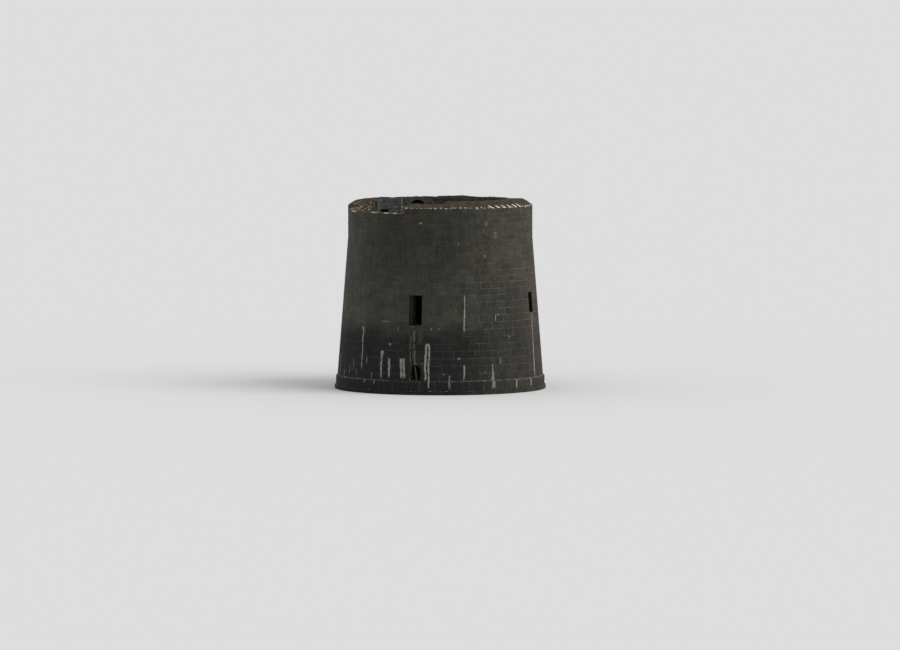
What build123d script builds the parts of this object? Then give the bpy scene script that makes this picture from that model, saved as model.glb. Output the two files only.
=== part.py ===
"""A coastal gun tower of squared granite: a round, battered stone drum with one raised door.

Millimetres, +Z up. The origin is the centre of the base at ground level. The door faces -Y, the land,
and the sea lies towards +Y, where the wall is thickest because the chambers are set off centre.
"""

from build123d import *

import math
import os

os.makedirs("parts", exist_ok=True)

# Courses: squared stones in level rows, each row a little thinner than the one under it
COURSE_FIRST = 494.0
COURSE_THINNING = 6.5
COURSES_TO_LEDGE = 7
COURSES_TO_WINDOW_SILL = 9
COURSES_TO_HEAD = 12
COURSES_TO_SPRINGING = 13
COURSES_TO_PARAPET = 21
COURSES_TO_BROKEN_EDGE = 26
COURSES_TO_EDGE = 27

# Outside: two stepped base courses, a battered wall and an upright parapet
WALL_FOOT_RADIUS = 6700.0
BASE_PROJECTION = 100.0
BASE_HEIGHT = 620.0
BASE_WEATHERING = 60.0
FOOTING_PROJECTION = 100.0
FOOTING_HEIGHT = 250.0
PARAPET_RADIUS = 6000.0

# Inside: two round chambers on one axis, which stands nearer the land than the tower's own axis
CHAMBER_OFFSET = 350.0
STORE_RADIUS = 3600.0
LIVING_RADIUS = 3900.0
FLAG_THICKNESS = 150.0
JOIST_DEPTH = 200.0
JOIST_WIDTH = 90.0
JOIST_SPACING = 450.0
JOIST_END_GAP = 20.0
BOARD_THICKNESS = 45.0
BOARD_GAP = 10.0
HATCH_BAYS = 2
HATCH_LENGTH = 900.0
HATCH_PLACE = -900.0

# Barrel vault over the upper chamber, running from the door side to the sea side
VAULT_SEAT = 650.0
VAULT_HEIGHT = 2150.0
VAULT_CROWN_THICKNESS = 550.0

# Door, with a narrow outer frame and a wider passage behind it
DOOR_WIDTH = 860.0
DOOR_FRAME_DEPTH = 300.0
PASSAGE_WIDTH = 1000.0
PASSAGE_ARCH_HEIGHT = 180.0
LINTEL_SEAT = 200.0

# Two windows, one each side of the door, splayed towards the chamber
WINDOW_BEARING = 82.5
WINDOW_WIDTH = 640.0
WINDOW_THROAT = 300.0
WINDOW_INNER_WIDTH = 1100.0
SILL_THICKNESS = 140.0

# Roof: gun platform, firing step and parapet with an outward weathered top
PLATFORM_THICKNESS = 200.0
PARAPET_THICKNESS = 1500.0
PARAPET_SLOPE = 1150.0
CREST_HEIGHTS = (405.0, 435.0, 350.0, 370.0, 335.0, 385.0)
STEP_WIDTH = 650.0
STEP_HEIGHT = 450.0
SPALLED_CREST_HEIGHT = 325.0
LOW_CREST_HEIGHT = 215.0
GAP_FALL = 70.0

# Weathered top: it rises fast behind the outer edge, then ever less towards the crest
SHOULDERS = ((250.0, 0.48), (550.0, 0.74))

# Spalled stretch: a ledge at the broken edge, then a ragged slope up to the crest
SPALL_LEDGE = 350.0
SPALL_HEIGHT = 80.0
SPALL_SHOULDER = 700.0

# Heap of core left on the outer half of the gap: where each step of it ends, and its height
HEAP_STEPS = ((-45.0, 400.0), (-40.0, 250.0), (-36.0, 100.0))
HEAP_FOOT = 300.0
HEAP_BACK = 1000.0

# Parapet stretches, as bearings from the door, positive towards the right-hand window
BROKEN_FROM = -75.3
GAP_FROM = -51.3
LOW_FROM = -8.5
FULL_FROM = 20.0

# Recesses in the parapet's inner face
RECESS_DEPTH = 700.0
SHELTER_BEARING = 214.2
SHELTER_WIDTH = 950.0
SHELTER_HEIGHT = 1570.0
SHELTER_ARCH_HEIGHT = 220.0
LOCKER_BEARING = 249.1
LOCKER_WIDTH = 850.0
LOCKER_HEIGHT = 1010.0

# Hole where facing stones have been pulled out below the door
BREACH_DEPTH = 1200.0
BREACH_WIDTH = 790.0
BREACH_HEIGHT = 1085.0
BREACH_SHIFT = 70.0
BREACH_TAPER = 9.0
BREACH_CLEARANCE = 100.0

# How far a cut runs past the faces that it goes through
OVERCUT = 1.0

DOOR_ANGLE = -90.0
BASE_RADIUS = WALL_FOOT_RADIUS + BASE_PROJECTION
FOOTING_RADIUS = BASE_RADIUS + FOOTING_PROJECTION
PARAPET_INNER_RADIUS = PARAPET_RADIUS - PARAPET_THICKNESS
CREST_RADIUS = PARAPET_RADIUS - PARAPET_SLOPE
REACH = 2.0 * FOOTING_RADIUS


def course_top(count):
    """Level of the bed on top of this many courses above the base course."""
    return BASE_TOP + count * COURSE_FIRST - COURSE_THINNING * count * (count - 1) / 2


BASE_TOP = FOOTING_HEIGHT + BASE_HEIGHT
STORE_FLOOR_Z = FOOTING_HEIGHT + FLAG_THICKNESS
LEDGE_Z = course_top(COURSES_TO_LEDGE)
BOARDS_Z = LEDGE_Z + JOIST_DEPTH
FLOOR_Z = BOARDS_Z + BOARD_THICKNESS
WINDOW_SILL_Z = course_top(COURSES_TO_WINDOW_SILL)
HEAD_Z = course_top(COURSES_TO_HEAD)
SPRINGING_Z = course_top(COURSES_TO_SPRINGING)
PARAPET_Z = course_top(COURSES_TO_PARAPET)
BROKEN_EDGE_Z = course_top(COURSES_TO_BROKEN_EDGE)
EDGE_Z = course_top(COURSES_TO_EDGE)
PLATFORM_Z = PARAPET_Z + PLATFORM_THICKNESS
STEP_Z = PLATFORM_Z + STEP_HEIGHT
VAULT_TOP_Z = SPRINGING_Z + VAULT_HEIGHT + VAULT_CROWN_THICKNESS
SEAT_RADIUS = LIVING_RADIUS + VAULT_SEAT


def wall_radius(level):
    """Outer radius of the wall: battered up to the parapet, upright above it."""
    share = min(1.0, max(0.0, (level - BASE_TOP) / (PARAPET_Z - BASE_TOP)))
    return WALL_FOOT_RADIUS + (PARAPET_RADIUS - WALL_FOOT_RADIUS) * share


FRAME_Y = DOOR_FRAME_DEPTH - wall_radius(HEAD_Z)


def turned(profile, start, sweep):
    """A half-plane outline of (radius, level) pairs, turned about the tower's axis from a start angle."""
    outline = make_face(Polyline(*[(r, 0, z) for r, z in profile], close=True))
    return Rot(0, 0, start) * revolve(outline, Axis.Z, sweep)


def chamber_core(radius, bottom, top):
    """A cylinder on the chambers' axis, which takes the hollow out of the walls."""
    core = Cylinder(radius, top - bottom, align=(Align.CENTER, Align.CENTER, Align.MIN))
    return Pos(0, -CHAMBER_OFFSET, bottom) * core


def wall_mass(bottom, top, start, sweep, chamber):
    """A sector of the wall between two levels, hollowed by the chamber that it stands round."""
    heart = chamber / 2
    corners = [(heart, bottom), (wall_radius(bottom), bottom)]
    corners += [(wall_radius(top), top), (heart, top)]
    return turned(corners, start, sweep) - chamber_core(chamber, bottom - OVERCUT, top + OVERCUT)


def block(x_min, x_max, y_min, y_max, z_min, z_max):
    """A box given by its limits."""
    solid = Box(x_max - x_min, y_max - y_min, z_max - z_min)
    middle = ((x_min + x_max) / 2, (y_min + y_max) / 2, (z_min + z_max) / 2)
    return Pos(*middle) * solid


def arched_block(width, rise, depth_from, depth_to, bottom, crown):
    """An upright opening with a segmental arched head, running along Y."""
    half = width / 2
    spring = crown - rise
    walls = Polyline((-half, 0, spring), (-half, 0, bottom), (half, 0, bottom), (half, 0, spring))
    arch = ThreePointArc((half, 0, spring), (0, 0, crown), (-half, 0, spring))
    outline = make_face(walls + arch)
    return Pos(0, depth_from, 0) * extrude(outline, depth_to - depth_from, (0, 1, 0))


def door_void(bottom, top):
    """The doorway from outside to the chamber: a narrow frame and the wider passage behind it."""
    frame = block(-DOOR_WIDTH / 2, DOOR_WIDTH / 2, -REACH, FRAME_Y, bottom, top)
    passage = block(-PASSAGE_WIDTH / 2, PASSAGE_WIDTH / 2, FRAME_Y, -CHAMBER_OFFSET, bottom, top)
    return frame + passage


def door_head_pocket():
    """The course over the doorway, taken up by its lintel and the arch behind it."""
    half = PASSAGE_WIDTH / 2 + LINTEL_SEAT
    return block(-half, half, -REACH, -CHAMBER_OFFSET, HEAD_Z, SPRINGING_Z)


def window_void(side, bottom, top, margin=0.0):
    """A splayed window from outside to the chamber. side is 1 for the right one and -1 for the left."""
    throat = wall_radius(WINDOW_SILL_Z) - WINDOW_THROAT
    outer = WINDOW_WIDTH / 2 + margin
    slope = (WINDOW_INNER_WIDTH - WINDOW_WIDTH) / 2 / (throat - LIVING_RADIUS)
    inner_end = LIVING_RADIUS - CHAMBER_OFFSET - WINDOW_INNER_WIDTH / 2
    inner = outer + slope * (throat - inner_end)
    half = [(REACH, outer), (throat, outer), (inner_end, inner)]
    corners = half + [(x, -y) for x, y in reversed(half)]
    plan = make_face(Polyline(*[(x, y, bottom) for x, y in corners], close=True))
    angle = DOOR_ANGLE + side * WINDOW_BEARING
    return Rot(0, 0, angle) * extrude(plan, top - bottom, (0, 0, 1))


def breach():
    """The ragged hole left by missing facing stones, narrowing into the wall."""
    half = BREACH_WIDTH / 2
    corners = [
        (-0.85 * half, BASE_TOP),
        (-half, BASE_TOP + 0.45 * BREACH_HEIGHT),
        (-0.80 * half, BASE_TOP + 0.90 * BREACH_HEIGHT),
        (-0.25 * half, BASE_TOP + BREACH_HEIGHT),
        (0.75 * half, BASE_TOP + 0.97 * BREACH_HEIGHT),
        (0.95 * half, BASE_TOP + 0.72 * BREACH_HEIGHT),
        (half, BASE_TOP + 0.30 * BREACH_HEIGHT),
        (0.90 * half, BASE_TOP),
    ]
    mouth = wall_radius(BASE_TOP) + BREACH_CLEARANCE
    outline = Polyline(*[(x + BREACH_SHIFT, -mouth, z) for x, z in corners], close=True)
    depth = BREACH_DEPTH + mouth - wall_radius(BASE_TOP)
    return extrude(make_face(outline), depth, (0, 1, 0), taper=BREACH_TAPER)


def footing():
    """The wide lowest course, on which everything stands."""
    disc = Cylinder(FOOTING_RADIUS, FOOTING_HEIGHT, align=(Align.CENTER, Align.CENTER, Align.MIN))
    return {"footing_course": disc}


def base_course():
    """The tall projecting course, with a weathered upper edge."""
    shoulder = BASE_TOP - BASE_WEATHERING
    corners = [(STORE_RADIUS / 2, FOOTING_HEIGHT), (BASE_RADIUS, FOOTING_HEIGHT), (BASE_RADIUS, shoulder)]
    corners += [(BASE_RADIUS - BASE_WEATHERING, BASE_TOP), (STORE_RADIUS / 2, BASE_TOP)]
    hollow = chamber_core(STORE_RADIUS, FOOTING_HEIGHT - OVERCUT, BASE_TOP + OVERCUT)
    return {"base_course": turned(corners, 0, 360) - hollow}


def store_wall():
    """The lowest storey's wall in six sectors, the front one with the breach."""
    names = ["front", "front_right", "back_right", "back", "back_left", "front_left"]
    sweep = 360 / len(names)
    pieces = {}
    for index, name in enumerate(names):
        start = DOOR_ANGLE + (index - 0.5) * sweep
        sector = wall_mass(BASE_TOP, LEDGE_Z, start, sweep, STORE_RADIUS)
        pieces["store_wall_" + name] = sector - breach() if index == 0 else sector
    return pieces


def living_wall():
    """The upper storey's wall: piers beside the door, and four sectors from window to window."""
    openings = door_void(LEDGE_Z, SPRINGING_Z) + door_head_pocket()
    for side in (-1, 1):
        openings += window_void(side, LEDGE_Z, HEAD_Z)
        openings += window_void(side, HEAD_Z, SPRINGING_Z, LINTEL_SEAT)
    pier = WINDOW_BEARING / 2
    back = (360 - 2 * WINDOW_BEARING) / 4
    starts = {
        "pier_right_of_door": (0, pier),
        "pier_by_right_window": (pier, pier),
        "living_wall_right": (WINDOW_BEARING, back),
        "living_wall_back_right": (WINDOW_BEARING + back, back),
        "living_wall_back_left": (WINDOW_BEARING + 2 * back, back),
        "living_wall_left": (WINDOW_BEARING + 3 * back, back),
        "pier_by_left_window": (-2 * pier, pier),
        "pier_left_of_door": (-pier, pier),
    }
    pieces = {}
    for name, (bearing, sweep) in starts.items():
        sector = wall_mass(LEDGE_Z, SPRINGING_Z, DOOR_ANGLE + bearing, sweep, LIVING_RADIUS)
        pieces[name] = sector - openings
    return pieces


def doorway():
    """The door's threshold stone, its lintel and the low arch over the passage behind."""
    front = wall_mass(LEDGE_Z, SPRINGING_Z, DOOR_ANGLE - 45, 90, LIVING_RADIUS)
    head = front & door_head_pocket()
    outer = block(-REACH, REACH, -REACH, FRAME_Y, HEAD_Z, SPRINGING_Z)
    soffit = arched_block(
        PASSAGE_WIDTH, PASSAGE_ARCH_HEIGHT, FRAME_Y, -CHAMBER_OFFSET, LEDGE_Z, HEAD_Z + PASSAGE_ARCH_HEIGHT
    )
    return {
        "door_threshold": front & door_void(LEDGE_Z, FLOOR_Z),
        "door_lintel": head & outer,
        "passage_arch": head - outer - soffit,
    }


def window_stones(side, name):
    """The sill, the masonry under it and the lintel of one window."""
    start = DOOR_ANGLE + side * WINDOW_BEARING - 30
    wall = wall_mass(LEDGE_Z, SPRINGING_Z, start, 60, LIVING_RADIUS)
    sill_bed = WINDOW_SILL_Z - SILL_THICKNESS
    return {
        f"{name}_window_apron": wall & window_void(side, LEDGE_Z, sill_bed),
        f"{name}_window_sill": wall & window_void(side, sill_bed, WINDOW_SILL_Z),
        f"{name}_window_lintel": wall & window_void(side, HEAD_Z, SPRINGING_Z, LINTEL_SEAT),
    }


def upper_wall():
    """The wall round the vault, in four sectors."""
    names = ["front", "right", "back", "left"]
    sweep = 360 / len(names)
    pieces = {}
    for index, name in enumerate(names):
        start = DOOR_ANGLE + (index - 0.5) * sweep
        pieces["upper_wall_" + name] = wall_mass(SPRINGING_Z, PARAPET_Z, start, sweep, SEAT_RADIUS)
    return pieces


def barrel():
    """The hollow under the barrel vault, as wide as the chamber at its springing."""
    spring = Line((-LIVING_RADIUS, 0, SPRINGING_Z), (LIVING_RADIUS, 0, SPRINGING_Z))
    crown = (0, 0, SPRINGING_Z + VAULT_HEIGHT)
    arch = ThreePointArc((LIVING_RADIUS, 0, SPRINGING_Z), crown, (-LIVING_RADIUS, 0, SPRINGING_Z))
    start = -CHAMBER_OFFSET - LIVING_RADIUS
    return Pos(0, start, 0) * extrude(make_face(spring + arch), 2 * LIVING_RADIUS, (0, 1, 0))


def vault():
    """The stone vault, and the rubble that levels it up to the gun platform."""
    hollow = barrel() & chamber_core(LIVING_RADIUS, SPRINGING_Z, VAULT_TOP_Z)
    return {
        "vault": chamber_core(SEAT_RADIUS, SPRINGING_Z, VAULT_TOP_Z) - hollow,
        "vault_fill": chamber_core(SEAT_RADIUS, VAULT_TOP_Z, PARAPET_Z),
    }


def roof():
    """The paved gun platform and the firing step round it."""
    platform = Cylinder(
        PARAPET_INNER_RADIUS, PLATFORM_THICKNESS, align=(Align.CENTER, Align.CENTER, Align.MIN)
    )
    inner = PARAPET_INNER_RADIUS - STEP_WIDTH
    ring = [(inner, PLATFORM_Z), (PARAPET_INNER_RADIUS, PLATFORM_Z)]
    ring += [(PARAPET_INNER_RADIUS, STEP_Z), (inner, STEP_Z)]
    return {"gun_platform": Pos(0, 0, PARAPET_Z) * platform, "firing_step": turned(ring, 0, 360)}


def parapet_section(outline, bearing, sweep):
    """A stretch of parapet whose top follows the outline, from the outer edge inwards."""
    corners = [(PARAPET_INNER_RADIUS, PARAPET_Z), (PARAPET_RADIUS, PARAPET_Z), *outline]
    return turned(corners, DOOR_ANGLE + bearing, sweep)


def weathered_top(rise):
    """The sloping top of an unbroken stretch, with a crest this much above its outer edge."""
    crest = EDGE_Z + rise
    slope = [(PARAPET_RADIUS - run, EDGE_Z + rise * share) for run, share in SHOULDERS]
    return [(PARAPET_RADIUS, EDGE_Z), *slope, (CREST_RADIUS, crest), (PARAPET_INNER_RADIUS, crest)]


def stump_top(heap=0.0):
    """The broken top in the gap, with or without a heap of core on its outer half."""
    inner = (PARAPET_INNER_RADIUS, BROKEN_EDGE_Z - GAP_FALL)
    if heap == 0.0:
        return [(PARAPET_RADIUS, BROKEN_EDGE_Z), inner]
    return [
        (PARAPET_RADIUS, BROKEN_EDGE_Z),
        (PARAPET_RADIUS - HEAP_FOOT, BROKEN_EDGE_Z + heap / 4),
        (PARAPET_RADIUS - (HEAP_FOOT + HEAP_BACK) / 2, BROKEN_EDGE_Z + heap),
        (PARAPET_RADIUS - HEAP_BACK, BROKEN_EDGE_Z - GAP_FALL / 2),
        inner,
    ]


def gap_sill():
    """The broken top between the spalled and the lowered stretch, as one solid."""
    stump = None
    bearing = GAP_FROM
    for end, heap in (*HEAP_STEPS, (LOW_FROM, 0.0)):
        section = parapet_section(stump_top(heap), bearing, end - bearing)
        stump = section if stump is None else stump + section
        bearing = end
    return stump


def parapet_recess(bearing, width, height, rise):
    """A recess in the parapet's inner face, standing on the firing step."""
    start = PARAPET_INNER_RADIUS - STEP_WIDTH / 2
    end = PARAPET_INNER_RADIUS + RECESS_DEPTH
    crown = STEP_Z + height
    if rise > 0:
        void = arched_block(width, rise, start, end, STEP_Z, crown)
    else:
        void = block(-width / 2, width / 2, start, end, STEP_Z, crown)
    return Rot(0, 0, bearing + 180) * void


def parapet():
    """The parapet: a spalled stretch, a gap, a lowered stretch, and the rest unbroken."""
    spalled = [
        (PARAPET_RADIUS, BROKEN_EDGE_Z),
        (PARAPET_RADIUS - SPALL_LEDGE, BROKEN_EDGE_Z + SPALL_HEIGHT),
        (PARAPET_RADIUS - SPALL_SHOULDER, EDGE_Z + SPALL_HEIGHT),
        (CREST_RADIUS, EDGE_Z + SPALLED_CREST_HEIGHT),
        (PARAPET_INNER_RADIUS, EDGE_Z + SPALLED_CREST_HEIGHT),
    ]
    pieces = {
        "parapet_spalled": parapet_section(spalled, BROKEN_FROM, GAP_FROM - BROKEN_FROM),
        "parapet_gap_sill": gap_sill(),
        "parapet_lowered": parapet_section(weathered_top(LOW_CREST_HEIGHT), LOW_FROM, FULL_FROM - LOW_FROM),
    }
    recesses = parapet_recess(SHELTER_BEARING, SHELTER_WIDTH, SHELTER_HEIGHT, SHELTER_ARCH_HEIGHT)
    recesses += parapet_recess(LOCKER_BEARING, LOCKER_WIDTH, LOCKER_HEIGHT, 0)
    sweep = (360 + BROKEN_FROM - FULL_FROM) / len(CREST_HEIGHTS)
    for index, height in enumerate(CREST_HEIGHTS):
        stretch = parapet_section(weathered_top(height), FULL_FROM + index * sweep, sweep)
        pieces[f"parapet_{index + 1}"] = stretch - recesses
    return pieces


def hatch_limits():
    """The hatch's limits in plan: two joist bays wide."""
    half = (HATCH_BAYS * JOIST_SPACING - JOIST_WIDTH) / 2
    middle_y = HATCH_LENGTH - CHAMBER_OFFSET
    return HATCH_PLACE - half, HATCH_PLACE + half, middle_y - HATCH_LENGTH / 2, middle_y + HATCH_LENGTH / 2


def floors():
    """The flagged ground floor, and the boarded floor above on joists with a trimmed hatch."""
    x_min, x_max, y_min, y_max = hatch_limits()
    rim = LIVING_RADIUS - JOIST_END_GAP
    joists = []
    count = int((rim - JOIST_WIDTH) / JOIST_SPACING)
    for index in range(-count, count + 1):
        x = index * JOIST_SPACING
        ends = math.sqrt(rim**2 - (abs(x) + JOIST_WIDTH / 2) ** 2)
        half = JOIST_WIDTH / 2
        beam = block(x - half, x + half, -CHAMBER_OFFSET - ends, -CHAMBER_OFFSET + ends, LEDGE_Z, BOARDS_Z)
        if x_min < x < x_max:
            beam -= block(x_min, x_max, y_min - JOIST_WIDTH, y_max + JOIST_WIDTH, LEDGE_Z, BOARDS_Z)
        joists.append(beam)
    for y in (y_min - JOIST_WIDTH, y_max):
        joists.append(block(x_min, x_max, y, y + JOIST_WIDTH, LEDGE_Z, BOARDS_Z))
    timbers = joists[0]
    for beam in joists[1:]:
        timbers += beam
    boards = chamber_core(LIVING_RADIUS - BOARD_GAP, BOARDS_Z, FLOOR_Z)
    return {
        "ground_floor_flags": chamber_core(STORE_RADIUS, FOOTING_HEIGHT, STORE_FLOOR_Z),
        "floor_joists": timbers,
        "floor_boards": boards - block(x_min, x_max, y_min, y_max, BOARDS_Z - OVERCUT, FLOOR_Z + OVERCUT),
    }


def tower():
    """Every named piece of the tower."""
    pieces = {}
    pieces.update(footing())
    pieces.update(base_course())
    pieces.update(store_wall())
    pieces.update(living_wall())
    pieces.update(doorway())
    pieces.update(window_stones(1, "right"))
    pieces.update(window_stones(-1, "left"))
    pieces.update(upper_wall())
    pieces.update(vault())
    pieces.update(roof())
    pieces.update(parapet())
    pieces.update(floors())
    return pieces


for piece_name, solid in tower().items():
    export_step(solid, f"parts/{piece_name}.step")
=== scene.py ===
"""Dresses the martello tower: coursed granite facing, coping, turf, broken rubble, lime runs and floors."""
import logging
import math
import random
from dataclasses import dataclass, field
from enum import Enum
from functools import cached_property
from typing import Callable, ClassVar, Iterable, Optional, Sequence, Union

import bmesh
import bpy
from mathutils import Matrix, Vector, noise


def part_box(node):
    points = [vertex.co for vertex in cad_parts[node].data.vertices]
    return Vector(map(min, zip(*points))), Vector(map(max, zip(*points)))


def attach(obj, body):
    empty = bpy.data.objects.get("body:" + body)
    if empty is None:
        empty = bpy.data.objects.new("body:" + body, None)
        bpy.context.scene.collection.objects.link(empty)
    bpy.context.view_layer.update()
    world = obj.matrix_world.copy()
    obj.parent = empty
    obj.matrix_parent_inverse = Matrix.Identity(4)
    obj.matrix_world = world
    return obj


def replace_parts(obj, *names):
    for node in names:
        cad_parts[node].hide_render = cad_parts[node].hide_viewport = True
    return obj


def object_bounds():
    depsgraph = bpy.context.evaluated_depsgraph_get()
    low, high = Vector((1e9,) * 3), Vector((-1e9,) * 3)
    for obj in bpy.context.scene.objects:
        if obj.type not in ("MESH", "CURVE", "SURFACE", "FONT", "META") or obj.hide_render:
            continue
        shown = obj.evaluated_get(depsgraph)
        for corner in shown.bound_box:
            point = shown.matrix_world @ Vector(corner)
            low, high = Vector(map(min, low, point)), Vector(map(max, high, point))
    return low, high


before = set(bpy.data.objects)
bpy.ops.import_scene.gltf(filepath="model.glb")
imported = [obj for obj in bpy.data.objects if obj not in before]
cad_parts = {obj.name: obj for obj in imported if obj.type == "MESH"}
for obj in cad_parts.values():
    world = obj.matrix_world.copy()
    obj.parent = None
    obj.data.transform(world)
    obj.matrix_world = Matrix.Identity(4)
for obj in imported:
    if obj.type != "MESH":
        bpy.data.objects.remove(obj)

log = logging.getLogger("tower")
CAD_LOW, CAD_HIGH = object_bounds()

Pair = tuple[float, float]
Point = tuple[float, float, float]
Colour = tuple[float, float, float]
Value = Union["Wire", float, Colour]
Key = Union[str, int]


def seen(*display: int) -> Colour:
    """A colour in linear light, from its red, green and blue display values, 0 to 255."""
    shares = [value / 255 for value in display]
    return tuple(share / 12.92 if share <= 0.04045 else ((share + 0.055) / 1.055) ** 2.4 for share in shares)


def place(radius: float, angle: float, level: float) -> Point:
    """The point at a distance from the axis, a bearing from the door in radians and a level."""
    return radius * math.sin(angle), -radius * math.cos(angle), level


def held(value: float, low: float = 0.0, high: float = 1.0) -> float:
    """A value kept between two limits."""
    return max(low, min(high, value))


# Shader maths


def operator(name: str, turned: bool = False) -> Callable[["Wire", Value], "Wire"]:
    """An operator that adds a Math node, with its two values turned round if asked."""
    return lambda wire, other: wire.graph.math(name, *((other, wire) if turned else (wire, other)))


@dataclass(frozen=True)
class Wire:
    """A socket's value, with the operators that add Math nodes; | takes the larger."""

    graph: "Graph"
    socket: Optional[bpy.types.NodeSocket]

    __add__ = __radd__ = operator("ADD")
    __sub__ = operator("SUBTRACT")
    __rsub__ = operator("SUBTRACT", True)
    __mul__ = __rmul__ = operator("MULTIPLY")
    __truediv__ = operator("DIVIDE")
    __or__ = operator("MAXIMUM")

    def __abs__(self) -> "Wire":
        """This without its sign."""
        return self.graph.math("ABSOLUTE", self)


class Graph:
    """A material's or the sky's nodes, with one method that adds any node."""

    def __init__(self, data: Union[bpy.types.Material, bpy.types.World]) -> None:
        """Starts an empty node tree.

        Args:
            data: the material or world.
        """
        data.use_nodes = True
        self.tree = data.node_tree
        self.tree.nodes.clear()

    def node(
        self,
        kind: str,
        settings: Optional[dict[str, object]] = None,
        sockets: Optional[dict[Key, Value]] = None,
        output: Key = 0,
    ) -> Wire:
        """Adds a node.

        Args:
            kind: the node's type, without the word ShaderNode.
            settings: its properties.
            sockets: values or links for its inputs, by index, name or identifier.
            output: which output to hand back.

        Returns:
            The chosen output, or an empty wire where the node has none.
        """
        made = self.tree.nodes.new("ShaderNode" + kind)
        for key, value in (settings or {}).items():
            setattr(made, key, value)
        for key, value in (sockets or {}).items():
            socket = self.find(made.inputs, key)
            if isinstance(value, Wire):
                self.tree.links.new(value.socket, socket)
            else:
                socket.default_value = (*value, 1.0) if socket.type == "RGBA" else value
        return Wire(self, self.find(made.outputs, output) if made.outputs else None)

    @staticmethod
    def find(sockets: Sequence[bpy.types.NodeSocket], key: Key) -> bpy.types.NodeSocket:
        """The socket with this index, identifier or name.

        Args:
            sockets: a node's inputs or outputs.
            key: the index, identifier or name.

        Returns:
            The socket.
        """
        if isinstance(key, int):
            return sockets[key]
        return next(each for kind in ("identifier", "name") for each in sockets if getattr(each, kind) == key)

    def math(self, operation: str, *values: Value) -> Wire:
        """A Math node on one or two values."""
        return self.node("Math", {"operation": operation}, dict(enumerate(values)))

    def split(self, vector: Wire) -> list[Wire]:
        """The x, y and z of a vector."""
        sockets = self.node("SeparateXYZ", None, {0: vector}).socket.node.outputs
        return [Wire(self, socket) for socket in sockets]

    @cached_property
    def place(self) -> Wire:
        """The point's place in the tower's frame."""
        return self.node("TexCoord", output="Object")

    @cached_property
    def axes(self) -> list[Wire]:
        """The point's x, y and z."""
        return self.split(self.place)

    def ramp(self, value: Value, low: float, high: float) -> Wire:
        """Goes smoothly from 0 at low to 1 at high; low may be the larger.

        Args:
            value: what is measured.
            low: where the ramp gives 0.
            high: where it gives 1.

        Returns:
            The share, 0 to 1.
        """
        ends = (low, high, 0.0, 1.0) if low < high else (high, low, 1.0, 0.0)
        limits = zip(("From Min", "From Max", "To Min", "To Max"), ends)
        return self.node("MapRange", {"interpolation_type": "SMOOTHSTEP"}, {"Value": value, **dict(limits)})

    def mix(self, share: Value, first: Value, second: Value, blend: str = "MIX") -> Wire:
        """A colour between two others: the first at a share of 0, the second at 1.

        Args:
            share: how much of the second.
            first: one colour.
            second: the other.
            blend: how the second is laid on.

        Returns:
            The colour.
        """
        settings = {"data_type": "RGBA", "blend_type": blend, "clamp_factor": True}
        sockets = {"Factor_Float": share, "A_Color": first, "B_Color": second}
        return self.node("Mix", settings, sockets, "Result_Color")

    def shaded(self, colour: Value, light: Value) -> Wire:
        """A colour times a number."""
        grey = self.node("CombineColor", None, {index: light for index in range(3)})
        return self.mix(1.0, colour, grey, "MULTIPLY")

    def stretched(self, scale: Point, shift: float = 0.0) -> Wire:
        """The place, moved, and stretched for a pattern that runs one way."""
        moved = (shift, -shift, 0.5 * shift)
        return self.node("Mapping", None, {"Vector": self.place, "Location": moved, "Scale": scale})

    def grain(self, scale: float, detail: float = 4.0, along: Point = (1.0, 1.0, 1.0), shift: float = 0.0) -> Wire:
        """Cloudy noise, about 0.5 on average.

        Args:
            scale: how many clouds to a metre.
            detail: how many finer layers.
            along: stretch of the pattern on each axis.
            shift: moves the pattern, so that two of them differ.

        Returns:
            The noise value.
        """
        sockets = {"Vector": self.stretched(along, shift), "Scale": scale, "Detail": detail, "Roughness": 0.6}
        return self.node("TexNoise", {"noise_dimensions": "3D"}, sockets, "Fac")

    def stored(self, name: str) -> Wire:
        """A number stored on the mesh, stone by stone."""
        return self.node("Attribute", {"attribute_name": name}, None, "Fac")

    def surface(self, colour: Value, roughness: Value, height: Value, depth: float) -> None:
        """Ends the material in one shader.

        Args:
            colour: the base colour.
            roughness: the roughness.
            height: the fine relief, 0 to 1.
            depth: what 1 of that relief is, in metres.
        """
        relief = self.node("Bump", None, {"Height": height, "Distance": depth, "Strength": 1.0}, "Normal")
        sockets = {"Base Color": colour, "Roughness": roughness, "Normal": relief, "Specular IOR Level": 0.25}
        self.node("OutputMaterial", None, {"Surface": self.node("BsdfPrincipled", None, sockets, "BSDF")})


# Sizes

CRESTS = {name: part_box(name)[1].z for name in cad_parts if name.startswith("parapet_")}
STEP_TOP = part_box("firing_step")[1].z
PLATFORM_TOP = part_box("gun_platform")[1].z


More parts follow.
